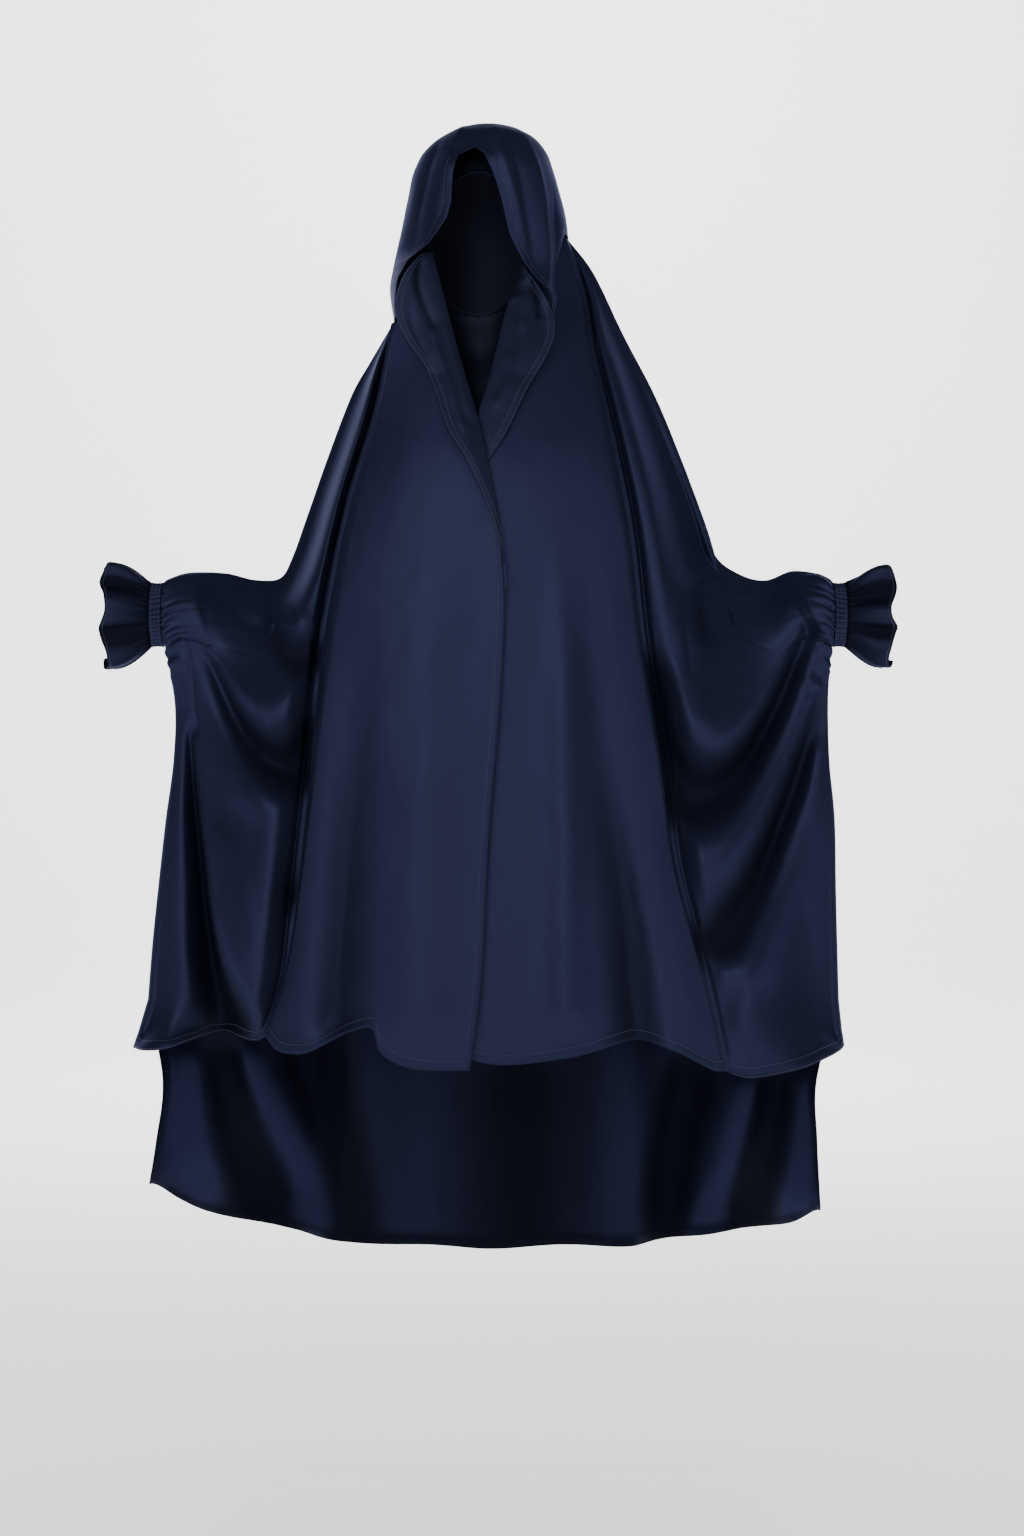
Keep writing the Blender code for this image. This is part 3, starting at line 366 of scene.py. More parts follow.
def softened(values: Array, times: int) -> Array:
    """Average a grid of values with their neighbours, several times."""
    for _ in range(times):
        for axis in (0, 1):
            padded = np.concatenate([np.take(values, [0], axis), values, np.take(values, [-1], axis)], axis)
            count = values.shape[axis]
            values = (np.take(padded, range(count), axis) + 2 * values
                      + np.take(padded, range(2, count + 2), axis)) / 4
    return values


def grid_normals(grid: Array) -> Array:
    """Unit normals of a grid of points."""
    normal = np.cross(np.gradient(grid, axis=1), np.gradient(grid, axis=0))
    return normal / np.maximum(np.linalg.norm(normal, axis=2, keepdims=True), 1e-9)


class Edge(Enum):
    """An edge of a grid: its axis, and whether it is the last line."""

    TOP = (0, False)
    BOTTOM = (0, True)
    FIRST = (1, False)
    LAST = (1, True)


# Centre front depth: share down, share of the front stand
CENTRE: Rows = ((0, 0.42), (0.14, 0.45), (0.236, 0.55), (0.322, 0.71), (0.366, 0.785), (0.426, 0.845),
    (0.504, 0.885), (0.616, 0.916), (0.763, 0.947), (1, 1))
# How late the drape bends back to its fold edge: share down, power
DRAPE_BEND: Rows = ((0.12, 1.2), (0.2, 1.3), (0.35, 2.6), (1, 2.6))
# Fold edges of the drape: across, down, ahead
RIGHT_EDGE: Rows = ((-0.431, 0.2215, 0.44), (-0.512, 0.317, 0.53), (-0.646, 0.423, 0.63),
    (-0.758, 0.558, 0.67), (-0.835, 0.728, 0.69), (-0.9, 0.857, 0.68), (-0.962, 0.925, 0.65),
    (-1.027, 0.971, 0.6))
LEFT_EDGE: Rows = ((0.35, 0.1225, 0.15), (0.435, 0.181, 0.2), (0.477, 0.245, 0.38), (0.581, 0.352, 0.58),
    (0.658, 0.444, 0.65), (0.715, 0.558, 0.68), (0.792, 0.663, 0.7), (0.858, 0.782, 0.71),
    (0.95, 0.868, 0.72), (1.02, 0.925, 0.73), (1.096, 1.005, 0.74))
# Roll of each lapel and the centre edge below it
RIGHT_ROLL: Rows = ((-0.208, 0.19), (-0.162, 0.231), (-0.119, 0.267), (-0.05, 0.321), (-0.004, 0.364),
    (0.05, 0.426), (0.077, 0.479), (0.085, 0.516), (0.062, 0.621), (0.01, 0.763), (-0.023, 0.905),
    (-0.077, 1))
LEFT_ROLL: Rows = ((0.131, 0.187), (0.096, 0.201), (0.046, 0.247), (0, 0.29), (-0.042, 0.323))
# Left panel's hidden edge: across, down, overlaps taken off
HIDDEN_EDGE: Rows = ((-0.042, 0.4, 0.5), (0.08, 0.52, 1), (0.06, 0.7, 1), (-0.02, 0.9, 0.5))
# Hems of the drape, from its centre edge to its fold edge
RIGHT_DRAPE_HEM: Rows = ((-0.077, 1), (-0.262, 1), (-0.385, 0.996), (-0.49, 0.982), (-0.527, 0.958),
    (-0.627, 0.963), (-0.808, 0.983), (-0.896, 0.987), (-0.969, 0.984), (-1.027, 0.971))
LEFT_DRAPE_HEM: Rows = ((-0.15, 0.985), (0.069, 0.995), (0.4, 0.987), (0.677, 0.972), (0.873, 0.984),
    (1.038, 1.003), (1.096, 1.005))
# Outer edge and roll of each lapel
RIGHT_LAPEL_EDGE: Rows = ((-0.3, 0.152), (-0.38, 0.17), (-0.425, 0.196), (-0.428, 0.215), (-0.381, 0.241),
    (-0.297, 0.268), (-0.242, 0.296), (-0.182, 0.338), (-0.093, 0.372), (-0.019, 0.4075), (0.046, 0.445),
    (0.074, 0.47), (0.083, 0.51))
RIGHT_LAPEL_ROLL: Rows = ((-0.258, 0.148), (-0.232, 0.17), (-0.208, 0.19), (-0.162, 0.231), (-0.119, 0.267),
    (-0.05, 0.321), (-0.004, 0.364), (0.05, 0.426), (0.077, 0.479), (0.0855, 0.512))
LEFT_LAPEL_EDGE: Rows = ((0.175, 0.162), (0.24, 0.184), (0.302, 0.209), (0.315, 0.234), (0.278, 0.258),
    (0.185, 0.296), (0.092, 0.341), (0, 0.374))
LEFT_LAPEL_ROLL: Rows = ((0.15, 0.164), (0.131, 0.187), (0.096, 0.201), (0.046, 0.247), (0, 0.29),
    (-0.042, 0.323), (-0.042, 0.36))
# Seam over each arm: shares of the reach, the wrist's drop and its stand
RIGHT_ARM: Rows = ((-0.372, 0.52, 0), (-0.425, 0.586, 0), (-0.497, 0.716, 0), (-0.563, 0.847, 0),
    (-0.611, 0.94, 0), (-0.65, 0.985, 0.05), (-0.729, 0.989, 0.25), (-0.817, 0.976, 0.5),
    (-0.93, 0.978, 0.85), (-1, 1, 1))
LEFT_ARM: Rows = ((0.311, 0.323, 0), (0.396, 0.454, 0), (0.488, 0.585, 0), (0.561, 0.714, 0),
    (0.627, 0.845, 0), (0.667, 0.935, 0), (0.736, 0.976, 0.1), (0.811, 0.991, 0.35), (0.887, 0.972, 0.6),
    (0.96, 0.981, 0.9), (1, 1, 1))
# Side seams and front corners, in shares of the hem's half width
RIGHT_SIDE: Rows = ((-0.88, 0.62, 0.12), (-0.884, 0.681, 0.1), (-0.907, 0.745, 0.08), (-0.927, 0.81, 0.06),
    (-0.945, 0.874, 0.05), (-0.959, 0.938, 0.04))
RIGHT_CORNER: Rows = ((-1, 0.99, 0.03),)
LEFT_SIDE: Rows = ((0.957, 0.612, 0.12), (0.961, 0.681, 0.1), (0.977, 0.745, 0.08), (0.982, 0.83, 0.06),
    (0.99, 0.938, 0.04))
LEFT_CORNER: Rows = ((1.004, 0.987, 0.03),)
# Front hems of the wings, from behind the drape outwards
RIGHT_WING_HEM: Rows = ((-0.64, 0.976, 0.5), (-0.709, 0.975, 0.32), (-0.761, 0.974, -0.06),
    (-0.8, 0.977, -0.08), (-0.836, 0.98, 0.12), (-0.898, 0.987, 0.3), (-0.959, 0.99, 0.22))
LEFT_WING_HEM: Rows = ((0.723, 1.013, 0.62), (0.857, 1.006, 0.5), (0.93, 0.998, 0.34), (0.985, 0.991, 0.16))
# Hem and free sides of the back
BACK_HEM: Rows = ((-0.968, 0.929, -0.25), (-0.9, 0.95, -0.47), (-0.77, 0.972, -0.74), (-0.466, 0.993, -0.95),
    (0, 1, -1), (0.5, 0.996, -0.95), (0.724, 0.986, -0.77), (0.88, 0.971, -0.49), (0.949, 0.952, -0.25))
RIGHT_SLIT: Rows = ((-0.92, 0.833, -0.06), (-0.943, 0.889, -0.15))
LEFT_SLIT: Rows = ((0.93, 0.833, -0.06), (0.935, 0.889, -0.15))
# Folds of the back: across on top, across below, start, lift
BACK_FOLDS: Rows = ((-0.33, -0.62, 0.4, 0.55), (-0.2, -0.42, 0.3, -0.5), (-0.11, -0.21, 0.25, 0.6),
    (0, 0.02, 0.25, -0.55), (0.11, 0.23, 0.25, 0.6), (0.21, 0.44, 0.3, -0.5), (0.33, 0.64, 0.4, 0.55))
# Folds in millimetres: across, height, lift, width
RIGHT_WING_FOLDS: Sequence[Fold] = (
    Fold(((-266, -580, 4, 11), (-247, -607, 10, 13), (-222, -616, 11, 13), (-203, -605, 4, 11))),
    Fold(((-276, -607, -6, 11), (-252, -635, -16, 13), (-227, -652, -26, 14), (-207, -650, -26, 13))),
    Fold(((-362, -561, 4, 13), (-345, -615, 12, 18), (-315, -671, 20, 20), (-286, -705, 26, 20),
          (-256, -715, 27, 18), (-232, -703, 22, 16), (-217, -684, 12, 13))),
    Fold(((-340, -654, -3, 13), (-308, -717, -14, 15), (-281, -762, -22, 17), (-252, -788, -36, 19),
          (-227, -791, -46, 19), (-217, -771, -44, 17), (-211, -737, -32, 13))),
    Fold(((-358, -654, 8, 22), (-345, -722, 14, 28), (-320, -781, 20, 30), (-281, -820, 24, 28),
          (-247, -840, 20, 26), (-231, -859, 14, 22))),
    Fold(((-330, -879, 24, 36), (-310, -948, 27, 40), (-286, -997, 28, 36))),
    Fold(((-266, -869, 20, 26), (-266, -928, 20, 24), (-266, -977, 22, 24))),
    Fold(((-239, -918, -6, 12), (-242, -940, -22, 13), (-241, -960, -10, 11))),
    Fold(((-365, -668, 8, 13), (-357, -762, 16, 15), (-345, -859, 22, 17), (-323, -962, 27, 20),
          (-301, -1031, 28, 22), (-281, -1060, 27, 22), (-261, -1046, 22, 20), (-248, -1011, 14, 16))),
    Fold(((-366, -742, -8, 8), (-361, -820, -22, 10), (-353, -899, -34, 12), (-346, -972, -42, 14),
          (-334, -1046, -48, 17), (-317, -1102, -46, 22))),
    Fold(((-379, -713, 6, 13), (-381, -850, 12, 15), (-381, -997, 14, 18), (-381, -1095, 12, 20))),
)
LEFT_WING_FOLDS: Sequence[Fold] = (
    Fold(((265, -579, -4, 12), (269, -604, -10, 12), (272, -628, -6, 12))),
    Fold(((388, -589, 8, 22), (366, -637, 15, 26), (342, -685, 22, 28), (313, -724, 27, 28),
          (284, -746, 29, 28), (263, -743, 27, 26), (248, -724, 20, 22), (242, -676, 8, 15))),
    Fold(((395, -613, -6, 14), (376, -656, -14, 18), (352, -709, -20, 20), (323, -762, -26, 22),
          (289, -808, -33, 24), (255, -825, -38, 24), (222, -810, -42, 24), (207, -762, -42, 22),
          (200, -714, -34, 18), (196, -666, -20, 13))),
    Fold(((410, -628, 4, 14), (390, -690, 12, 18), (371, -743, 18, 22), (342, -801, 21, 24),
          (313, -854, 21, 26), (279, -887, 20, 30), (246, -902, 18, 32), (228, -897, 14, 28))),
    Fold(((413, -676, -4, 12), (402, -733, -10, 16), (381, -801, -16, 18), (352, -868, -20, 20),
          (323, -936, -25, 22), (294, -986, -30, 20), (265, -1001, -30, 15), (249, -994, -24, 11))),
    Fold(((410, -762, 6, 18), (396, -830, 13, 24), (372, -907, 18, 26), (343, -974, 21, 27),
          (314, -1027, 20, 24), (284, -1032, 10, 16))),
    Fold(((300, -1056, -8, 10), (295, -1085, -12, 12), (284, -1102, -6, 12))),
    Fold(((395, -1085, 7, 30), (402, -964, 6, 26))),
    Fold(((352, -1099, 6, 40), (328, -1109, 6, 40))),
)
RIGHT_KNOTS: Sequence[Fold] = (
    Fold(((-239, -580, 1, 8), (-226, -607, 4, 9), (-211, -619, 4, 9), (-203, -612, 2, 8)), 0.1),
    Fold(((-315, -590, -1, 11), (-290, -609, -3, 12), (-261, -617, -4, 12), (-232, -624, -3, 11)), 0.1),
    Fold(((-358, -565, 1, 7), (-357, -590, 5, 8), (-347, -620, 6, 9), (-334, -649, 3, 9)), 0.2),
    Fold(((-394, -622, 2, 5), (-384, -639, 5, 6), (-370, -664, 5, 6), (-365, -703, 3, 6)), 0.2),
    Fold(((-376, -624, -2, 6), (-366, -654, -6, 6), (-362, -703, -9, 7), (-360, -742, -9, 7)), 0.2),
)
LEFT_KNOTS: Sequence[Fold] = (
    Fold(((279, -554, 1, 6), (287, -561, 3, 7), (295, -576, 4, 7), (318, -573, 2, 8)), 0.1),
    Fold(((268, -569, -1, 11), (266, -594, -5, 13), (270, -628, -3, 12)), 0.1),
    Fold(((237, -578, 2, 7), (252, -562, 4, 8), (280, -552, 2, 8)), 0.1),
    Fold(((239, -599, -1, 8), (243, -632, -4, 9), (246, -671, -3, 9)), 0.1),
    Fold(((395, -551, 3, 5), (406, -553, 6, 6), (416, -563, 5, 5)), 0.3),
    Fold(((385, -572, 0, 6), (395, -589, 6, 6), (407, -614, 7, 6), (415, -621, 3, 6)), 0.3),
    Fold(((376, -589, -3, 7), (388, -611, -7, 7), (402, -638, -7, 7), (415, -657, -4, 6)), 0.3),
    Fold(((395, -626, 4, 6), (408, -645, 8, 7), (420, -659, 8, 6), (425, -671, 3, 5)), 0.3),
    Fold(((402, -667, -5, 6), (413, -674, -6, 5), (417, -677, -3, 5)), 0.3),
    Fold(((391, -676, 4, 5), (402, -684, 8, 6), (413, -686, 7, 5)), 0.3),
    Fold(((381, -708, 3, 5), (397, -701, 5, 5), (414, -695, 4, 5)), 0.3),
)
RIGHT_DENTS: Sequence[Fold] = (
    Fold(((-81, -168, -3, 7), (-85, -196, -4.5, 8), (-78, -224, -3.5, 8), (-64, -252, -2, 8))),
    Fold(((-94, -220, -1.2, 6), (-90, -252, -1.5, 6), (-68, -300, -1.5, 6), (-50, -356, -1.2, 6))),
    Fold(((-60, -184, 1.2, 8), (-48, -236, 2.2, 9), (-32, -300, 2.2, 10), (-18, -356, 1.4, 10))),
    Fold(((-68, -252, 1, 5), (-48, -316, 1.6, 6), (-28, -380, 1.2, 6))),
)
LEFT_DENTS: Sequence[Fold] = (
    Fold(((51, -192, -3, 7), (60, -214, -4.5, 7), (63, -238, -3, 7))),
    Fold(((34, -220, -1.6, 6), (32, -252, -2, 7), (26, -284, -1.2, 7))),
    Fold(((44, -244, 1.2, 8), (48, -268, 1.6, 9), (32, -308, 1.6, 9), (12, -348, 1.2, 9))),
    Fold(((30, -184, 1.5, 6), (12, -252, 1.8, 8), (-4, -332, 1.4, 8))),
)
BACK_SLANTS: Sequence[Fold] = (
    Fold(((-375, -1160, -12, 20), (-370, -1237, -14, 20), (-362, -1326, -10, 18))),
    Fold(((-341, -1160, 14, 16), (-323, -1250, 16, 18), (-290, -1358, 12, 20))),
    Fold(((-298, -1155, -12, 14), (-267, -1237, -15, 16), (-236, -1326, -12, 18), (-218, -1380, -8, 18))),
    Fold(((-241, -1160, 16, 18), (-203, -1250, 16, 20), (-175, -1384, 10, 24))),
    Fold(((-113, -1186, -4, 30), (-101, -1385, -5, 30))),
    Fold(((40, -1186, 6, 34), (40, -1390, 5, 34))),
    Fold(((194, -1173, -4, 26), (179, -1388, -6, 26))),
    Fold(((258, -1186, 16, 18), (240, -1275, 16, 20), (220, -1388, 10, 24))),
    Fold(((325, -1193, -12, 14), (301, -1275, -15, 16), (278, -1385, -12, 18))),
    Fold(((368, -1191, 14, 14), (353, -1275, 16, 16), (337, -1378, 12, 18))),
    Fold(((401, -1186, -12, 16), (399, -1275, -14, 18), (391, -1358, -10, 18))),
)
RIGHT_PANEL_FOLDS: Sequence[Fold] = (
    Fold(((-155, -560, 0, 26), (-162, -700, -5, 30), (-170, -816, -14, 32), (-178, -1085, -24, 34)), 0.0),
    Fold(((-70, -480, 0, 30), (-75, -700, 5, 34), (-80, -1070, 9, 36)), 0.0),
    Fold(((-128.5, -503, 0, 2.5), (-130, -700, 1.1, 2.8), (-132, -950, 1.1, 3), (-133, -1115, 0.8, 3)), 0.5),
    Fold(((-97.5, -255, 0.6, 2.5), (-97.5, -390, 0.9, 2.8)), 0.5),
)
LEFT_PANEL_FOLDS: Sequence[Fold] = (
    Fold(((85, -505, 0, 20), (92, -700, 11, 22), (95, -1070, 15, 26)), 0.15),
    Fold(((120, -540, 0, 22), (138, -760, -10, 26), (165, -950, -22, 28), (182, -1120, -30, 30)), 0.05),
)


class Channel:
    """A shader value that can be written as maths."""

    def __init__(self, sketch: "Sketch", socket: bpy.types.NodeSocket) -> None:
        """Keep the material and the socket that gives the value."""
        self.sketch = sketch
        self.socket = socket

    def _with(self, kind: str, first: object, second: object) -> "Channel":
        """Add one Math node."""
        return self.sketch.node("ShaderNodeMath", {"operation": kind}, {0: first, 1: second})

    def __add__(self, other: object) -> "Channel":
        """Sum."""
        return self._with("ADD", self, other)

    def __mul__(self, other: object) -> "Channel":
        """Product."""
        return self._with("MULTIPLY", self, other)

    def __rsub__(self, other: object) -> "Channel":
        """What is left of a number."""
        return self._with("SUBTRACT", other, self)


class Sketch:
    """A material whose nodes are added one call at a time."""

    def __init__(self, name: str) -> None:
        """Start an empty node material with a Principled shader."""
        self.material = bpy.data.materials.new(name)
        self.material.use_nodes = True
        self.tree = self.material.node_tree
        self.shader = next(n for n in self.tree.nodes if n.type == "BSDF_PRINCIPLED")

    def node(self, kind: str, settings: dict[str, object] | None = None,
             inputs: dict[object, object] | None = None, output: int | str = 0) -> Channel:
        """Add a node.

        Args:
            kind: The node's type.
            settings: Its own settings, such as an operation.
            inputs: Values or links of its sockets, by name or index.
            output: Which output to return.

        Returns:
            The output as a channel.
        """
        made = self.tree.nodes.new(kind)
        for key, value in (settings or {}).items():
            setattr(made, key, value)
        for key, value in (inputs or {}).items():
            self.feed(made.inputs[key], value)
        return Channel(self, made.outputs[output])

    def feed(self, socket: bpy.types.NodeSocket, value: object) -> None:
        """Link a channel to a socket or set its value."""
        if isinstance(value, Channel):
            self.tree.links.new(value.socket, socket)
        else:
            socket.default_value = value

    def set(self, **sockets: object) -> None:
        """Set or link sockets of the shader, underscores standing for spaces."""
        for name, value in sockets.items():
            self.feed(self.shader.inputs[name.replace("_", " ")], value)

    def place(self) -> Channel:
        """Place on the object."""
        return self.node("ShaderNodeTexCoord", output="Object")

    def cloth(self, scale: Sequence[float] = (1.0, 1.0, 1.0), turn: float = 0.0) -> Channel:
        """Place on the flat cloth, in metres.

        Args:
            scale: Stretches it.
            turn: Turns it, in degrees.

        Returns:
            The place.
        """
        uv = self.node("ShaderNodeUVMap", {"uv_map": "cloth"})
        return self.node("ShaderNodeMapping", None, {
            "Vector": uv, "Scale": tuple(scale), "Rotation": (0.0, 0.0, math.radians(turn))})

    def mask(self, name: str) -> Channel:
        """A mask that the mesh carries, such as the hem or the painted shade."""
        return self.node("ShaderNodeAttribute", {"attribute_name": name}, output="Fac")

    def noise(self, place: Channel, scale: float, detail: float, roughness: float = 0.5) -> Channel:
        """Soft noise at a place."""
        return self.node("ShaderNodeTexNoise", None, {
            "Vector": place, "Scale": scale, "Detail": detail, "Roughness": roughness})

    def bands(self, place: Channel, pitch: float, axis: str = "X", **more: float) -> Channel:
        """Straight bands, like the ribs of a weave.

        Args:
            place: Where on the cloth.
            pitch: From band to band, in metres.
            axis: Across which they run.
            more: The wave's other numbers, underscores standing for spaces.

        Returns:
            The bands, 0 to 1.
        """
        numbers = {name.replace("_", " "): value for name, value in more.items()}
        return self.node("ShaderNodeTexWave", {"wave_type": "BANDS", "bands_direction": axis},
                         {"Vector": place, "Scale": BAND_SCALE / pitch, **numbers}, "Fac")

    def bump(self, height: Channel, strength: float, distance: float, **more: Channel) -> Channel:
        """Small relief of the surface, over another relief if one is given as Normal."""
        return self.node("ShaderNodeBump", None,
                         {"Height": height, "Strength": strength, "Distance": distance, **more})

    def between(self, share: Channel, low: Sequence[float], high: Sequence[float]) -> Channel:
        """A colour between two others."""
        return self.node("ShaderNodeMix", {"data_type": "RGBA"}, {0: share, 6: (*low, 1), 7: (*high, 1)}, 2)

    def shadowed(self, share: Channel, colour: Sequence[float]) -> None:
        """Let the shader pass into a matt dark one, which paints shade.

        Args:
            share: Of the dark shader, the painted shade, 0 to 1.
            colour: Of the dark shader.
        """
        nodes = self.tree.nodes
        dark = nodes.new("ShaderNodeBsdfPrincipled")
        dark.inputs["Base Color"].default_value = (*(0.25 * part for part in colour), 1.0)
        dark.inputs["Roughness"].default_value = 0.8
        dark.inputs["Specular IOR Level"].default_value = 0.04
        blend = nodes.new("ShaderNodeMixShader")
        self.feed(blend.inputs[0], share)
        self.tree.links.new(self.shader.outputs[0], blend.inputs[1])
        self.tree.links.new(dark.outputs[0], blend.inputs[2])
        output = next(node for node in nodes if node.type == "OUTPUT_MATERIAL")
        self.tree.links.new(blend.outputs[0], output.inputs["Surface"])


@dataclass(frozen=True)
class Satin:
    """Soft satin: fine twill lines, a quiet sheen and slight changes of tone."""

    name: str = "navy_satin_cloth"
    deep: tuple[float, float, float] = (0.0126, 0.0145, 0.0345)
    light: tuple[float, float, float] = (0.0182, 0.0206, 0.0480)
    # Tone of the hem bands: below 1 a painted shade, above 1 a painted highlight
    hem_shade: float = 0.90
    roughness: float = 0.50
    sheen: float = 0.03
    gloss_tint: tuple[float, float, float, float] = (0.30, 0.36, 0.62, 1.0)
    thread: float = 0.00055
    twill: float = 0.0021
    slub: tuple[float, float, float] = (900.0, 60.0, 1.0)
    crumple: float = 0.0004
    # Strength of the painted shade in folds
    depth: float = 0.96
    gloss: float = 0.12
    lustre: float = 0.66
    weave_strength: float = 0.14
    crumple_strength: float = 0.35

    def make(self) -> bpy.types.Material:
        """Build the material.

        Returns:
            The finished satin.
        """
        sketch = Sketch(self.name)
        place = sketch.place()
        cloudy = sketch.noise(place, 9.0, 3.0)
        slub = sketch.noise(sketch.cloth(self.slub), 1.0, 1.0)
        twill = sketch.bands(sketch.cloth(turn=63), self.thread, Distortion=0.4, Detail=1.0, Detail_Scale=2.0)
        soft = sketch.noise(place, 34.0, 4.0, 0.55)
        hatch = self._hatch(sketch, 41) * self._hatch(sketch, -47)
        tone = sketch.between(cloudy * 0.55 + slub * 0.20 + hatch * 0.45, self.deep, self.light)
        # Painted shade on the hem bands, or a painted highlight where hem_shade is above 1
        shade = 1.0 - sketch.mask("hem") * (1.0 - self.hem_shade)
        toned = sketch.node("ShaderNodeMix", {"data_type": "RGBA", "blend_type": "MULTIPLY"},
                            {0: 1.0, 6: tone, 7: sketch.node("ShaderNodeCombineColor", None,
                                                             {0: shade, 1: shade, 2: shade})}, 2)
        weave = sketch.bump(twill * 0.4 + slub * 0.5 + hatch * 0.8, self.weave_strength, self.thread * 0.5)
        wrinkle = sketch.bump(soft, self.crumple_strength, self.crumple, Normal=weave)
        sketch.set(Base_Color=toned, Roughness=slub * 0.08 + cloudy * 0.06 + (self.roughness - 0.07),
                   Normal=wrinkle, Sheen_Weight=self.sheen, Sheen_Roughness=0.45,
                   Sheen_Tint=(0.35, 0.42, 0.75, 1.0), Specular_IOR_Level=self.gloss,
                   Specular_Tint=self.gloss_tint, Metallic=self.lustre)
        # Painted shade: where the fold mask is high, the satin passes into a matt dark shader
        sketch.shadowed(sketch.mask("painted_shade") * self.depth, self.deep)
        return sketch.material

    def _hatch(self, sketch: Sketch, turn: float) -> Channel:
        """Slanting lines of the twill, a little uneven."""
        return sketch.bands(sketch.cloth(turn=turn), self.twill, Distortion=1.2, Detail=1.0, Detail_Scale=0.6)


@dataclass(frozen=True)
class Jersey:
    """Matt stretch jersey of the cap and chin cover, with fine wales."""

    name: str = "dark_jersey_cloth"
    deep: tuple[float, float, float] = (0.0010, 0.0011, 0.0026)
    light: tuple[float, float, float] = (0.0024, 0.0027, 0.0062)
    wale: float = 0.0009
    knit_strength: float = 0.35

    def make(self) -> bpy.types.Material:
        """Build the material.

        Returns:
            The finished jersey.
        """
        sketch = Sketch(self.name)
        uv = sketch.cloth()
        ribs = sketch.bands(uv, self.wale, Distortion=0.3)
        rows = sketch.bands(uv, self.wale * 0.7, "Y", Distortion=0.3)
        tone = sketch.between(sketch.noise(sketch.place(), 14.0, 3.0, 0.6), self.deep, self.light)
        knit = sketch.bump(ribs * rows, self.knit_strength, self.wale * 0.4)
        sketch.set(Base_Color=tone, Roughness=ribs * 0.08 + 0.52, Normal=knit, Sheen_Weight=0.02,
                   Sheen_Roughness=0.5, Specular_IOR_Level=0.22, Specular_Tint=(0.5, 0.58, 0.95, 1.0),
                   Metallic=0.0)
        return sketch.material


@dataclass(frozen=True)
class Thread:
    """Twisted sewing thread."""

    name: str = "navy_sewing_thread"
    colour: tuple[float, float, float] = (0.016, 0.023, 0.075)

    def make(self) -> bpy.types.Material:
        """Build the material.

        Returns:
            The finished thread.
        """
        sketch = Sketch(self.name)
        twist = sketch.noise(sketch.place(), 900.0, 1.0)
        tone = sketch.between(twist, [value * 0.6 for value in self.colour], self.colour)
        sketch.set(Base_Color=tone, Roughness=twist * 0.2 + 0.35, Sheen_Weight=0.1)
        return sketch.material


@dataclass(frozen=True)
class StudioPaper:
    """Pale paper of the floor and backdrop."""

    name: str = "studio_paper"
    colour: tuple[float, float, float] = (0.80, 0.79, 0.785)
    glow: float = 1.0

    def make(self) -> bpy.types.Material:
        """Build the material.

        Returns:
            The finished paper.
        """
        sketch = Sketch(self.name)
        cloudy = sketch.noise(sketch.place(), 1.3, 2.0)
        tone = sketch.between(cloudy, [value * 0.975 for value in self.colour], self.colour)
        sketch.set(Base_Color=tone, Roughness=cloudy * 0.1 + 0.75, Emission_Color=(1.0, 0.99, 0.985, 1.0),
                   Emission_Strength=self.glow)
        return sketch.material


@dataclass
class Wardrobe:
    """The finishes that the pieces share."""

    satin: bpy.types.Material = field(init=False)
    reverse: bpy.types.Material = field(init=False)
    jersey: bpy.types.Material = field(init=False)
    turned: bpy.types.Material = field(init=False)
    lit_jersey_inside: bpy.types.Material = field(init=False)
    thread: bpy.types.Material = field(init=False)

    def __post_init__(self) -> None:
        """Make each finish once."""
        self.satin = Satin().make()
        # The reverse's hem bands carry a strong painted shade
        self.reverse = Satin(name="navy_satin_reverse", deep=(0.0085, 0.0100, 0.0265),
                             light=(0.0125, 0.0145, 0.0375), hem_shade=0.35, roughness=0.52).make()
        # The turned satin's hem bands carry a painted highlight
        self.turned = Satin(name="navy_satin_turned", deep=(0.0105, 0.0120, 0.0275),
                            light=(0.0155, 0.0175, 0.0385), hem_shade=1.15, roughness=0.50).make()
        self.jersey = Jersey().make()
        # A lighter copy of the jersey for the cap's inside: painted light in the dark hollow behind the face
        # opening
        self.lit_jersey_inside = Jersey(name="dark_jersey_lit_inside", deep=(0.010, 0.0115, 0.020),
                             light=(0.018, 0.020, 0.033)).make()
        self.thread = Thread().make()


def placed(name: str, data: bpy.types.ID) -> bpy.types.Object:
    """Put data into the scene as an object."""
    item = bpy.data.objects.new(name, data)
    bpy.context.scene.collection.objects.link(item)
    return item


class Shell(Enum):
    """How a grid of points closes."""

    OPEN = "open"
    TUBE = "tube"


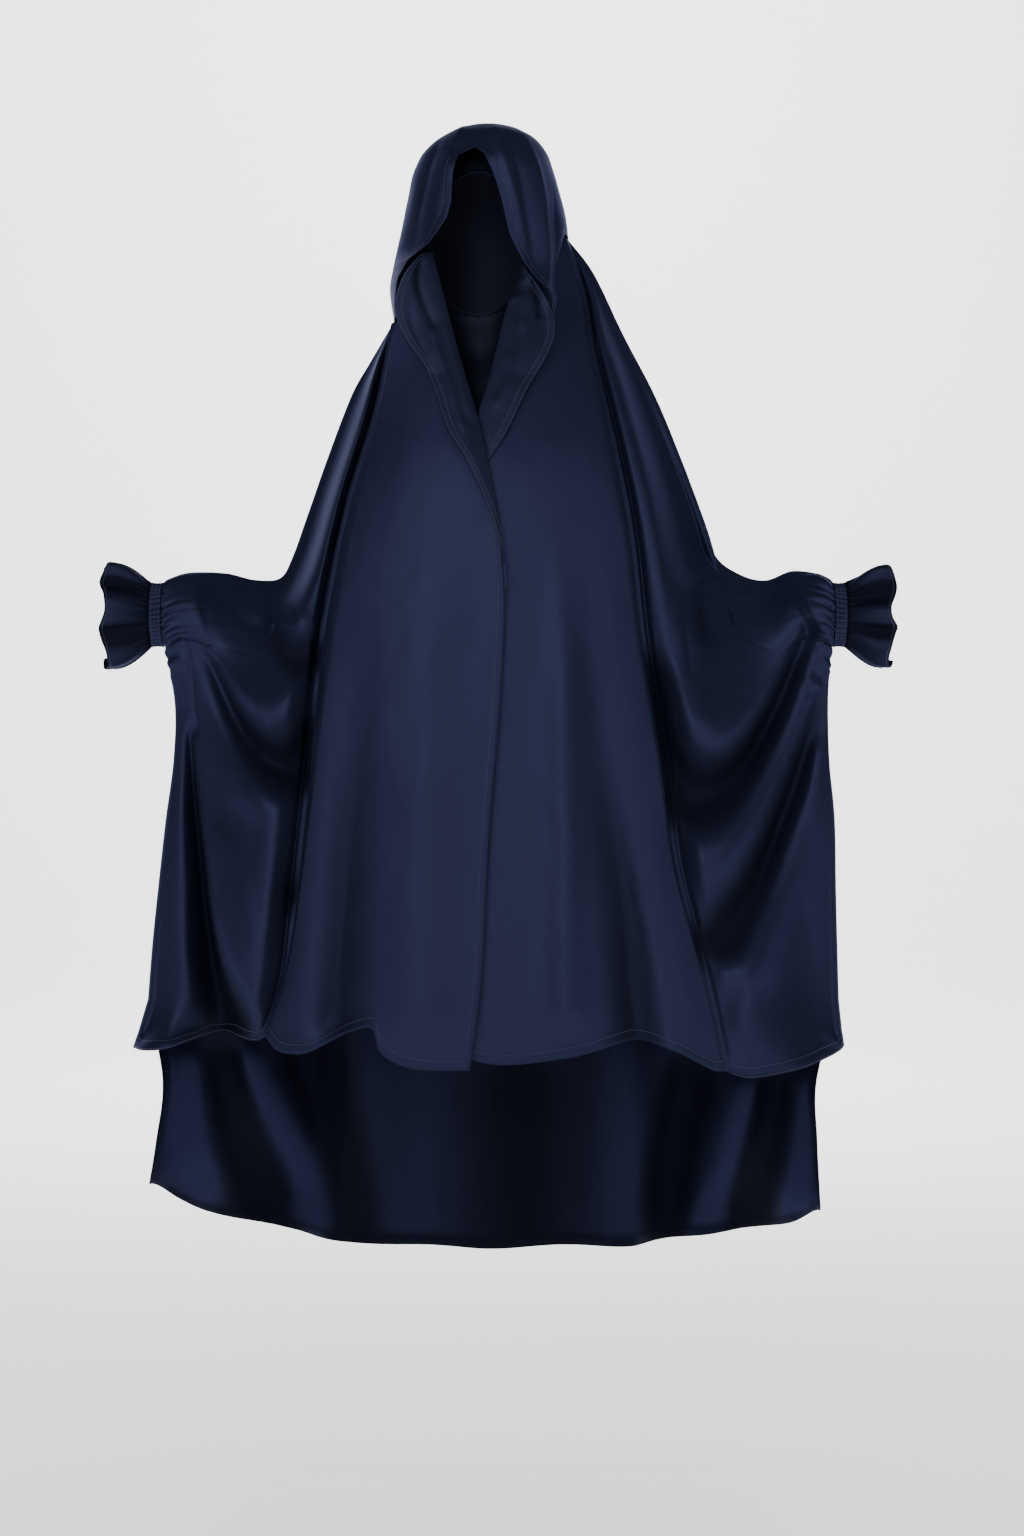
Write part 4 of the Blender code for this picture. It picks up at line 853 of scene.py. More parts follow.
@dataclass
class Sheet:
    """One piece of cloth made from a grid of points.

    Args:
        name: Name of the piece and of the CAD node it replaces.
        grid: Rows by columns of points, the first row on top.
        hem: Share of hem, 0 to 1, at each point.
        painted_shade: Painted shade at each point, 0 to 1, deepest in folds.
        shell: Whether its columns meet round a tube.
        thickness: Of the cloth.
        slot: Name of the finish that it takes the place of; not used.
        item: The finished piece, once built.
    """

    name: str
    grid: Array
    hem: Array | None = None
    shell: Shell = Shell.OPEN
    thickness: float = CUT.cloth
    slot: str = "navy_satin"
    item: bpy.types.Object | None = None
    painted_shade: Array | None = None

    def build(self, face: bpy.types.Material, reverse: bpy.types.Material, outward: Vector | None = None
              ) -> bpy.types.Object:
        """Make the cloth's mesh with its wall, UVs and hem mask.

        Args:
            face: Finish of the outside.
            reverse: Finish of the inside.
            outward: A rough direction that the outside faces; the sheet's own middle if left out.

        Returns:
            The finished piece.
        """
        rows, columns = self.grid.shape[:2]
        wrap = columns if self.shell is Shell.TUBE else columns - 1
        index = np.arange(rows * columns).reshape(rows, columns)
        right = np.roll(index, -1, axis=1)
        quads = np.stack([index[:-1, :wrap], index[1:, :wrap], right[1:, :wrap], right[:-1, :wrap]], axis=-1)
        quads = quads.reshape(-1, 4)
        mesh = bpy.data.meshes.new(self.name + "_cloth")
        mesh.from_pydata(self.grid.reshape(-1, 3).tolist(), [], quads.tolist())
        self._unwrap(mesh, rows, columns, quads)
        # The second mask is painted shade, deepest in folds
        for name, values in (("hem", self.hem), ("painted_shade", self.painted_shade)):
            mask = mesh.attributes.new(name, "FLOAT", "POINT")
            values = np.zeros((rows, columns)) if values is None else values
            mask.data.foreach_set("value", values.reshape(-1).astype(np.float32))
        work = bmesh.new()
        work.from_mesh(mesh)
        bmesh.ops.remove_doubles(work, verts=work.verts, dist=WELD)
        bmesh.ops.recalc_face_normals(work, faces=work.faces)
        work.faces.ensure_lookup_table()
        if self._points_inward(work, outward):
            bmesh.ops.reverse_faces(work, faces=work.faces)
        work.to_mesh(mesh)
        work.free()
        mesh.shade_smooth()
        self.item = placed(self.name + "_cloth", mesh)
        mesh.materials.append(face)
        mesh.materials.append(reverse)
        wall = self.item.modifiers.new("Wall", "SOLIDIFY")
        wall.thickness = self.thickness
        wall.offset = 0.0
        wall.material_offset = 1
        return self.item

    def _unwrap(self, mesh: bpy.types.Mesh, rows: int, columns: int, quads: Array) -> None:
        """Lay the grid out flat in metres."""
        across = np.linalg.norm(np.diff(self.grid, axis=1), axis=2)
        down = np.linalg.norm(np.diff(self.grid, axis=0), axis=2)
        u = np.concatenate([[0.0], np.cumsum(across.mean(axis=0))])
        v = np.concatenate([[0.0], np.cumsum(down.mean(axis=1))])
        wide = u[-1] + (across.mean() if self.shell is Shell.TUBE else 0.0)
        uu = np.broadcast_to(u[None], (rows, columns)).reshape(-1)[quads]
        vv = np.broadcast_to(-v[:, None], (rows, columns)).reshape(-1)[quads]
        jump = uu.max(axis=1) - uu.min(axis=1) > 0.5 * wide
        uu = np.where(jump[:, None] & (uu < 0.5 * wide), uu + wide, uu)
        layer = mesh.uv_layers.new(name="cloth")
        layer.data.foreach_set("uv", np.stack([uu, vv], axis=-1).reshape(-1).astype(np.float32))

    def _points_inward(self, work: bmesh.types.BMesh, outward: Vector | None) -> bool:
        """Whether most of the faces look away from the outside."""
        if outward is not None:
            return sum(face.normal.dot(outward) * face.calc_area() for face in work.faces) < 0
        x, y, _ = self.grid.reshape(-1, 3).mean(axis=0)
        total = 0.0
        for face in work.faces:
            middle = face.calc_center_median()
            total += face.normal.dot(middle - Vector((x, y, middle.z))) * face.calc_area()
        return total < 0

    def declare(self,
                pieces: Sequence[bpy.types.Object] = ()) -> None:
        """Tie the piece to the frame and hide the CAD node that it replaces.

        Args:
            pieces: Stitches and trims that go with it.
        """
        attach(self.item, "root")
        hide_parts(self.name)
        for piece in pieces:
            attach(piece, "root")


@dataclass(frozen=True)
class Stitching:
    """A row of stitches along a line, made with Geometry Nodes."""

    length: float = 0.0026
    pitch: float = 0.0038
    thread: float = 0.00035
    sides: int = 5

    def _sizes(self) -> dict[str, float]:
        """The tree's inputs and their values."""
        return {"Pitch": self.pitch, "Length": self.length, "Thread": self.thread}

    def tree(self, material: bpy.types.Material) -> bpy.types.NodeTree:
        """Build the node tree: a short thread at each pitch along the path.

        Args:
            material: Finish of the thread.

        Returns:
            The tree, with the inputs Pitch, Length and Thread.
        """
        tree = bpy.data.node_groups.new("stitch_row", "GeometryNodeTree")
        face = tree.interface
        face.new_socket("Path", in_out="INPUT", socket_type="NodeSocketGeometry")
        for name, value in self._sizes().items():
            face.new_socket(name, in_out="INPUT", socket_type="NodeSocketFloat").default_value = value
        face.new_socket("Stitches", in_out="OUTPUT", socket_type="NodeSocketGeometry")
        add, link = tree.nodes.new, tree.links.new
        source, sink = add("NodeGroupInput"), add("NodeGroupOutput")
        points = add("GeometryNodeCurveToPoints")
        points.mode = "LENGTH"
        body = add("GeometryNodeMeshCylinder")
        body.fill_type = "NGON"
        body.inputs["Vertices"].default_value = self.sides
        place = add("GeometryNodeInstanceOnPoints")
        real = add("GeometryNodeRealizeInstances")
        finish = add("GeometryNodeSetMaterial")
        finish.inputs["Material"].default_value = material
        link(source.outputs["Path"], points.inputs["Curve"])
        link(source.outputs["Pitch"], points.inputs["Length"])
        link(source.outputs["Length"], body.inputs["Depth"])
        link(source.outputs["Thread"], body.inputs["Radius"])
        link(points.outputs["Points"], place.inputs["Points"])
        align = add("FunctionNodeAlignRotationToVector")
        align.axis = "Z"
        link(points.outputs["Tangent"], align.inputs["Vector"])
        link(align.outputs["Rotation"], place.inputs["Rotation"])
        link(body.outputs["Mesh"], place.inputs["Instance"])
        link(place.outputs["Instances"], real.inputs["Geometry"])
        link(real.outputs["Geometry"], finish.inputs["Geometry"])
        link(finish.outputs["Geometry"], sink.inputs["Stitches"])
        return tree

    def sew(self, name: str, lines: Sequence[Array], material: bpy.types.Material) -> bpy.types.Object:
        """Sew along lines.

        Args:
            name: Name of the piece.
            lines: Points of each line.
            material: Finish of the thread.

        Returns:
            All the stitches as one mesh.
        """
        curve = bpy.data.curves.new(name + "_path", "CURVE")
        curve.dimensions = "3D"
        for line in lines:
            spline = curve.splines.new("POLY")
            spline.points.add(len(line) - 1)
            spline.points.foreach_set("co", np.concatenate([line, np.ones((len(line), 1))], axis=1).ravel())
        path = placed(name + "_path", curve)
        rows = path.modifiers.new("Stitches", "NODES")
        rows.node_group = self.tree(material)
        for socket in rows.node_group.interface.items_tree:
            if socket.in_out == "INPUT" and socket.name in self._sizes():
                rows[socket.identifier] = self._sizes()[socket.name]
        view = bpy.context.evaluated_depsgraph_get()
        mesh = bpy.data.meshes.new_from_object(path.evaluated_get(view))
        mesh.name = name
        path.modifiers.remove(rows)
        bpy.data.objects.remove(path, do_unlink=True)
        mesh.shade_smooth()
        return placed(name, mesh)


@dataclass
class HoodShape:
    """Sizes and sections of the hood, and where its surface runs."""

    length: float = 0.251
    half_width: float = 0.121
    depth: float = 0.125
    rim_half: float = 0.110
    rim_stand: float = 0.115
    rim_drop: float = 0.045
    rim_limit: float = 0.97
    rim_fade: float = 0.22
    right_side: float = 0.069
    left_side: float = 0.760
    neck_gap: float = 0.0014
    sections: Rows = ((0, 0, 0, 0, 0), (0.016, 0.23, 0.23, 0.3, 0.3), (0.036, 0.35, 0.35, 0.48, 0.48),
        (0.068, 0.475, 0.465, 0.64, 0.64), (0.143, 0.66, 0.605, 0.8, 0.8), (0.215, 0.744, 0.662, 0.87, 0.88),
        (0.367, 0.826, 0.752, 0.936, 0.976), (0.514, 0.884, 0.815, 0.952, 1),
        (0.665, 0.95, 0.835, 0.952, 0.992), (0.813, 1, 0.835, 0.936, 0.976), (1, 0.95, 0.826, 0.896, 0.944),
        (1.1, 0.93, 0.82, 0.88, 0.93))
    rim: Rows = ((0, -0.136, -0.136, 0.96), (0.18, -0.136, -0.136, 1), (0.215, -0.31, -0.03, 0.99),
        (0.291, -0.364, 0.045, 0.98), (0.367, -0.382, 0.109, 0.97), (0.446, -0.395, 0.159, 0.965),
        (0.518, -0.436, 0.195, 0.96), (0.598, -0.545, 0.241, 0.95), (0.65, -0.636, 0.295, 0.94),
        (0.729, -0.864, 0.395, 0.93), (0.817, -0.973, 0.536, 0.92), (0.906, -1, 0.695, 0.92),
        (1, -1.005, 0.736, 0.91))
    hem: Rows = ((0, 1), (0.069, 0.985), (0.25, 1.01), (0.45, 1.04), (0.58, 0.93), (0.68, 0.72), (0.76, 0.56),
        (0.82, 0.56), (0.9, 0.74), (1, 1))

    def section(self, z: Array) -> tuple[Array, Array, Array, Array]:
        """Half widths and depths at heights."""
        drop = (CUT.crown_rise - z) / self.length
        crown = drop < self.sections[3][0]
        sizes = (self.half_width, self.half_width, self.depth, self.depth)
        return tuple(size * np.where(crown, plain_value(self.sections, drop, k),
                                     soft_value(self.sections, drop, k))
                     for k, size in enumerate(sizes, 1))

    def point(self, way: Array, z: Array) -> Array:
        """Points of the hood.

        Args:
            way: Share of the way round from the right rim by the back to the left rim.
            z: Heights.

        Returns:
            The points.
        """
        way, z = np.broadcast_arrays(np.asarray(way, float), np.asarray(z, float))
        right, left, front, back = self.section(z)
        drop = (CUT.crown_rise - z) / self.length
        edge_right = plain_value(self.rim, drop, 1) * self.rim_half
        edge_left = plain_value(self.rim, drop, 2) * self.rim_half
        ahead = plain_value(self.rim, drop, 3) * self.rim_stand
        closed = drop < self.rim_drop / self.length
        shrink = np.minimum(1.0, front / self.depth)
        edge_right = np.where(closed, edge_right * shrink, edge_right)
        edge_left = np.where(closed, edge_right, edge_left)
        sines = (-edge / np.maximum(half, 1e-6) for edge, half in ((edge_right, right), (edge_left, left)))
        turn_right, turn_left = (
            np.arcsin(np.clip(sine, -self.rim_limit, self.rim_limit)) / (2 * math.pi) for sine in sines)
        turn_left = 1.0 + turn_left
        turn_left = np.where(closed, 1.0 + turn_right, turn_left)
        x, y = self._ring(turn_right + way * (turn_left - turn_right), right, left, front, back)
        near = (np.maximum(0.0, 1.0 - way / self.rim_fade) ** 2
                + np.maximum(0.0, 1.0 - (1.0 - way) / self.rim_fade) ** 2)
        reach = np.where(closed, 0.0,
                         np.minimum(1.0, (drop * self.length - self.rim_drop) / (0.5 * self.rim_drop)))
        end = np.where(way < 0.5, turn_right, turn_left)
        rim_y = self._ring(end, right, left, front, back)[1]
        return np.stack([x, y + near * reach * (-ahead - rim_y), z], axis=-1)

    @staticmethod
    def _ring(turn: Array, right: Array, left: Array, front: Array, back: Array) -> tuple[Array, Array]:
        """Point of a section at a turn from the front by the right side."""
        turn = turn % 1.0
        angle = 2 * math.pi * turn
        half = np.where(turn < 0.5, right, left)
        depth = np.where(np.cos(angle) > 0, front, back)
        return -half * np.sin(angle), -depth * np.cos(angle)

    def hem_height(self, way: Array) -> Array:
        """Height of the lower edge."""
        return CUT.crown_rise - plain_value(self.hem, way) * self.length

    def neck_point(self, way: Array) -> Array:
        """Points of the body's neck edge, just below the hood."""
        return self.point(way, self.hem_height(way)) - np.array((0.0, 0.0, self.neck_gap))


@dataclass
class Hood:
    """The loose hood with its rim hem, crown pleats and side fold."""

    shape: HoodShape = field(default_factory=HoodShape)
    crown_rows: int = 26
    lower_rows: int = 84
    front_columns: int = 34
    back_columns: int = 110
    rim_hem: float = 0.010
    rim_proud: float = 0.0007
    ripples: float = 0.0016
    back_ways: tuple[float, float] = (0.14, 0.70)
    # Painted shade in the pleats' troughs: its strength, and the trough depths over which it grows
    pleat_shade: float = 0.85
    pleat_depths: tuple[float, float] = (0.0008, 0.0065)
    pleats: Sequence[Fold] = (
        Fold(((-30, 10, 0, 5), (-33, -10, 6, 7), (-45, -45, 6, 10), (-60, -110, 4, 13),
              (-70, -160, 0, 15)), 0.4, 0.3),
        Fold(((-50, 0, 0, 6), (-68, -40, -4, 9), (-82, -90, -5, 11), (-90, -150, -2, 12)), 0.2),
        Fold(((-10, 10, 0, 4), (-14, -12, -4, 6), (-28, -30, -3, 8), (-34, -50, 0, 10)), 0.4),
        Fold(((6, 12, 0, 4), (10, -12, 7, 6), (18, -45, 9, 8), (32, -90, 7, 11),
              (48, -150, 3, 14)), 0.5, -0.35),
        Fold(((2, 10, 0, 3), (1, -20, -6, 4), (4, -50, -6, 5), (10, -80, 0, 6)), 0.6),
        Fold(((45, -10, 0, 6), (58, -45, 5, 9), (68, -95, 6, 10), (72, -160, 6, 9),
              (72, -230, 3, 9)), 0.3, 0.3),
        Fold(((26, -20, 0, 6), (38, -60, -5, 9), (47, -110, -6, 11), (56, -160, -4, 11),
              (60, -200, 0, 10)), 0.2),
        Fold(((79, -60, 0, 4), (83, -110, -5, 5), (84.5, -170, -6, 5), (83, -240, -4, 5)), 0.4))

    def build(self, wardrobe: Wardrobe) -> bpy.types.Object:
        """Build and dress the hood.

        Args:
            wardrobe: The finishes.

        Returns:
            The finished piece.
        """
        shape = self.shape
        ways = np.concatenate([
            np.linspace(0.0, self.back_ways[0], self.front_columns, endpoint=False),
            np.linspace(*self.back_ways, self.back_columns, endpoint=False),
            np.linspace(self.back_ways[1], 1.0, self.front_columns * 2)])
        top = CUT.crown_rise - shape.rim_drop
        crown = CUT.crown_rise - shape.rim_drop * (np.arange(1, self.crown_rows) / self.crown_rows) ** 1.8
        rows = [np.broadcast_to(np.array((0.0, 0.0, CUT.crown_rise)), (len(ways), 3))]
        rows += [shape.point(ways, z) for z in crown]
        hem = shape.hem_height(ways)
        for share in np.linspace(0, 1, self.lower_rows):
            rows.append(shape.point(ways, top + share * (hem - top)))
        grid = np.array(rows)
        for row in range(self.crown_rows + 1):
            middle = (grid[row, 0] + grid[row, -1]) / 2
            grid[row, 0] = grid[row, -1] = middle
        x, y, z = grid[..., 0], grid[..., 1], grid[..., 2]
        facing = np.clip(-y / 0.06, 0.0, 1.0) * eased(-z, -0.014, 0.004)
        normal = grid_normals(grid)
        outward = np.sign(np.sum(normal * (grid - (0, 0, -0.12)), axis=2, keepdims=True))
        normal = normal * outward
        lift = all_folds(self.pleats, x, z) * facing
        # Painted shade in the pleats' troughs
        painted_shade = self.pleat_shade * eased(-lift, *self.pleat_depths)
        lift += self.ripples * ripple(np.arctan2(x, -y) * 0.1, z, 1.7, 9.0, 5.0) * eased(-z, 0.02, 0.12)
        inside = np.minimum(away(grid, Edge.FIRST), away(grid, Edge.LAST))
        below_rim = np.arange(len(grid))[:, None] > self.crown_rows
        band = (inside < self.rim_hem) & below_rim
        lift += np.where(band, self.rim_proud, 0.0)
        lift *= np.where(below_rim, 1.0, eased(inside, 0.0, 0.01))
        keep = 1.0 - eased(np.arange(len(grid))[:, None] / (len(grid) - 1.0), 0.90, 1.0) * (ways[None] > 0.05)
        grid = grid + normal * (lift * keep)[..., None]
        sheet = Sheet("hood", grid, band.astype(float) * 0.6, painted_shade=painted_shade)
        sheet.build(wardrobe.satin, wardrobe.reverse)
        beyond = inside[self.crown_rows + 30] > self.rim_hem * 0.82
        sewn = slice(self.crown_rows + 6, -2)
        lines = [grid[sewn, column] + normal[sewn, column] * CUT.thread_proud
                 for column in (np.argmax(beyond), len(ways) - 1 - np.argmax(beyond[::-1]))]
        stitches = Stitching().sew("hood_rim_stitches", lines, wardrobe.thread)
        sheet.declare([stitches])
        return sheet.item


@dataclass
class InnerCap:
    """The close cap with its face opening, chin cover and bound edge."""

    length: float = 0.395
    half_width: float = 0.078
    front: float = 0.085
    back: float = 0.100
    offset: float = -0.005
    face_width: float = 0.123
    face_top: float = 0.070
    face_length: float = 0.175
    face_offset: float = -0.011
    rows: int = 120
    columns: int = 160
    binding: float = 0.0014
    crown_gap: float = 0.0019
    front_half: float = 0.012
    hole: float = 0.985
    chin_from: tuple[float, float] = (0.235, 0.26)
    chin_to: tuple[float, float] = (0.30, 0.36)
    crease: float = 0.0025
    seam_height: float = -0.292
    seam_width: float = 0.0022
    seam_proud: float = 0.0012
    sections: Rows = ((0, 0, 0), (0.03, 0.4, 0.4), (0.08, 0.66, 0.64), (0.16, 0.86, 0.84), (0.28, 0.98, 0.97),
        (0.4, 1, 1), (0.55, 0.96, 0.98), (0.65, 0.86, 0.92), (0.75, 0.74, 0.8), (0.85, 0.68, 0.76),
        (1, 0.72, 0.8))

    def surface(self, share: Array, turn: Array) -> Array:
        """Points of the cap at a share of its length and a turn from the front."""
        width, depth = (np.where(share < self.sections[2][0], plain_value(self.sections, share, k),
                                 soft_value(self.sections, share, k)) for k in (1, 2))
        angle = 2 * math.pi * turn
        sway = np.where(np.cos(angle) > 0, self.front, self.back)
        x = -self.half_width * width * np.sin(angle) + self.offset * width
        y = -sway * depth * np.cos(angle)
        z = CUT.crown_rise - self.crown_gap - share * self.length
        return np.stack([x, y, z + np.zeros_like(x)], axis=-1)

    def build(self, wardrobe: Wardrobe) -> bpy.types.Object:
        """Build and dress the cap.

        Args:
            wardrobe: The finishes.

        Returns:
            The finished piece.
        """
        shares = np.linspace(0, 1, self.rows) ** 1.3
        turns = np.arange(self.columns) / self.columns
        grid = self.surface(shares[:, None], turns[None])
        x, y, z = grid[..., 0], grid[..., 1], grid[..., 2]
        middle = CUT.crown_rise - self.face_top - self.face_length / 2
        front = y < -self.front_half
        oval_x = (x - self.face_offset) / (self.face_width / 2)
        oval_z = (z - middle) / (self.face_length / 2)
        chin = eased(-z, *self.chin_from) * (1 - eased(-z, *self.chin_to)) * np.clip(-y / 0.05, 0, 1)
        crease = self.crease * np.cos(oval_x * 3.0) * np.sin((z + 0.24) * 110.0) * chin
        grid[..., 1] -= crease
        seam = np.exp(-((z - self.seam_height) / self.seam_width) ** 2) * np.clip(-y / 0.04, 0, 1)
        grid[..., 1] += self.seam_proud * seam
        radius = np.hypot(oval_x, oval_z)
        snap = front & (np.abs(radius - 1) < 0.05)
        scale = np.where(snap, 1 / np.maximum(radius, 1e-6), 1.0)
        grid[..., 0] = np.where(snap, self.face_offset + (x - self.face_offset) * scale, grid[..., 0])
        grid[..., 2] = np.where(snap, middle + (z - middle) * scale, grid[..., 2])
        sheet = Sheet("inner_cap", grid, None, Shell.TUBE, slot="dark_jersey")
        # The cap's inside takes the lighter jersey copy, a painted light
        item = sheet.build(wardrobe.jersey, wardrobe.lit_jersey_inside)
        work = bmesh.new()
        work.from_mesh(item.data)
        holes = []
        for face in work.faces:
            x, y, z = face.calc_center_median()
            oval = (x - self.face_offset) / (self.face_width / 2), (z - middle) / (self.face_length / 2)
            if y < -self.front_half and math.hypot(*oval) < self.hole:
                holes.append(face)
        bmesh.ops.delete(work, geom=holes, context="FACES")
        work.to_mesh(item.data)
        work.free()
        angle = np.linspace(0, 2 * math.pi, 120, endpoint=False)
        ring_x = self.face_offset + self.face_width / 2 * np.cos(angle)
        ring_z = middle + self.face_length / 2 * np.sin(angle)
        ring = np.stack([ring_x, self._front_depth(ring_x, ring_z), ring_z], axis=1)
        bound = self._bind(ring, wardrobe)
        sheet.declare([bound])
        return item

    def _front_depth(self, x: Array, z: Array) -> Array:
        """Depth of the cap's front at points of the front view."""
        share = (CUT.crown_rise - self.crown_gap - z) / self.length
        width = soft_value(self.sections, share, 1) * self.half_width
        depth = soft_value(self.sections, share, 2) * self.front
        across = (x - self.offset * width / self.half_width) / width
        return -depth * np.sqrt(np.clip(1 - across ** 2, 0.02, 1.0))

    def _bind(self, ring: Array, wardrobe: Wardrobe) -> bpy.types.Object:
        """A rolled binding round the face opening."""
        out = ring - ring.mean(axis=0)
        out[:, 1] = 0
        out /= np.linalg.norm(out, axis=1, keepdims=True)
        rows, columns = 10, len(ring)
        grid = np.array([ring + out * math.cos(angle) * self.binding
                         + np.array((0, math.sin(angle), 0)) * self.binding * 0.8
                         for angle in (2 * math.pi * k / rows for k in range(rows))])
        index = np.arange(rows * columns).reshape(rows, columns)
        below = np.roll(index, -1, axis=0)
        quads = np.stack([index, below, np.roll(below, -1, axis=1), np.roll(index, -1, axis=1)], axis=-1)
        quads = quads.reshape(-1, 4)
        mesh = bpy.data.meshes.new("face_binding")
        mesh.from_pydata(grid.reshape(-1, 3).tolist(), [], quads.tolist())
        layer = mesh.uv_layers.new(name="cloth")
        layer.data.foreach_set("uv", (grid.reshape(-1, 3)[quads][..., [0, 2]]).reshape(-1).astype(np.float32))
        work = bmesh.new()
        work.from_mesh(mesh)
        bmesh.ops.recalc_face_normals(work, faces=work.faces)
        work.to_mesh(mesh)
        work.free()
        mesh.shade_smooth()
        mesh.materials.append(wardrobe.jersey)
        return placed("face_binding", mesh)


class Drape:
    """Depths and edges that the front panels, the lapels and the wings share."""

    @staticmethod
    def edge(rows: Rows, shares: Array) -> Array:
        """Fold edge of one half of the drape at shares of its length."""
        return smooth_rows(CUT.points(rows, CUT.drape_half, CUT.front_length, CUT.front_stand), shares)

    @staticmethod
    def flat_line(rows: Rows, shares: Array) -> Array:
        """A line of the front view, with its depth left out."""
        flat = [row[:2] for row in rows]
        return smooth_rows(CUT.points(flat, CUT.drape_half, CUT.front_length, 0.0), shares)

    @staticmethod
    def depth(x: Array, z: Array, edge_rows: Rows) -> Array:
        """Depth of the drape at points of the front view.

        Args:
            x: Places across.
            z: Heights.
            edge_rows: The fold edge that the drape bends back to.

        Returns:
            The depths.
        """
        edge = Drape.edge(edge_rows, np.linspace(0, 1, 300))
        down = (CUT.crown_rise - z) / CUT.front_length
        edge_x = np.interp(-z, -edge[:, 2], edge[:, 0])
        edge_y = np.interp(-z, -edge[:, 2], edge[:, 1])
        share = np.clip(x / edge_x, 0.0, 1.0)
        middle = -soft_value(CENTRE, down) * CUT.front_stand
        return middle + (edge_y - middle) * share ** plain_value(DRAPE_BEND, down)


def away(grid: Array, edge: Edge) -> Array:
    """Distance of each grid point from an edge, along the grid's lines."""
    axis, back = edge.value
    ordered = np.flip(grid, axis) if back else grid
    steps = np.linalg.norm(np.diff(ordered, axis=axis), axis=2)
    pad = [(1, 0), (0, 0)] if axis == 0 else [(0, 0), (1, 0)]
    total = np.cumsum(np.pad(steps, pad), axis=axis)
    return np.flip(total, axis) if back else total


def hem_lift(grid: Array, edges: Sequence[Edge], width: float) -> tuple[Array, Array]:
    """Raised band along edges.

    Args:
        grid: The cloth's points.
        edges: The hemmed edges.
        width: Width of the band.

    Returns:
        The lift and the hem mask.
    """
    nearest = np.min([away(grid, edge) for edge in edges], axis=0)
    mask = 1.0 - eased(nearest, width * 0.92, width * 1.08)
    rolled = np.exp(-(nearest / (width * 0.22)) ** 2)
    ditch = np.exp(-((nearest - width * 0.86) / (width * 0.07)) ** 2)
    return mask * CUT.hem_proud + rolled * CUT.hem_proud * 0.8 - ditch * CUT.hem_proud * 0.7, mask


def seam_line(grid: Array, edge: Edge, distance: float, out: Array, trim: int) -> Array:
    """A line along an edge, at a distance inside it.

    Args:
        grid: The cloth's points.
        edge: The edge to follow.
        distance: From the edge.
        out: Unit normals of the grid.
        trim: Grid lines left out at both ends.

    Returns:
        Points a little above the cloth.
    """
    far = away(grid, edge)
    lifted = grid + out * (CUT.cloth * 0.5 + CUT.thread_lift)
    if edge.value[0] == 1:
        far, lifted = far.T, lifted.transpose(1, 0, 2)
    if edge.value[1]:
        far, lifted = far[::-1], lifted[::-1]
    points = []
    for k in range(trim, lifted.shape[1] - trim):
        points.append([np.interp(distance, far[:, k], lifted[:, k, axis]) for axis in range(3)])
    return np.array(points)


def facing_normals(grid: Array, way: Sequence[float]) -> Array:
    """Unit normals turned so that they face a direction on the whole."""
    normal = grid_normals(grid)
    return normal * np.sign((normal @ np.array(way)).sum())


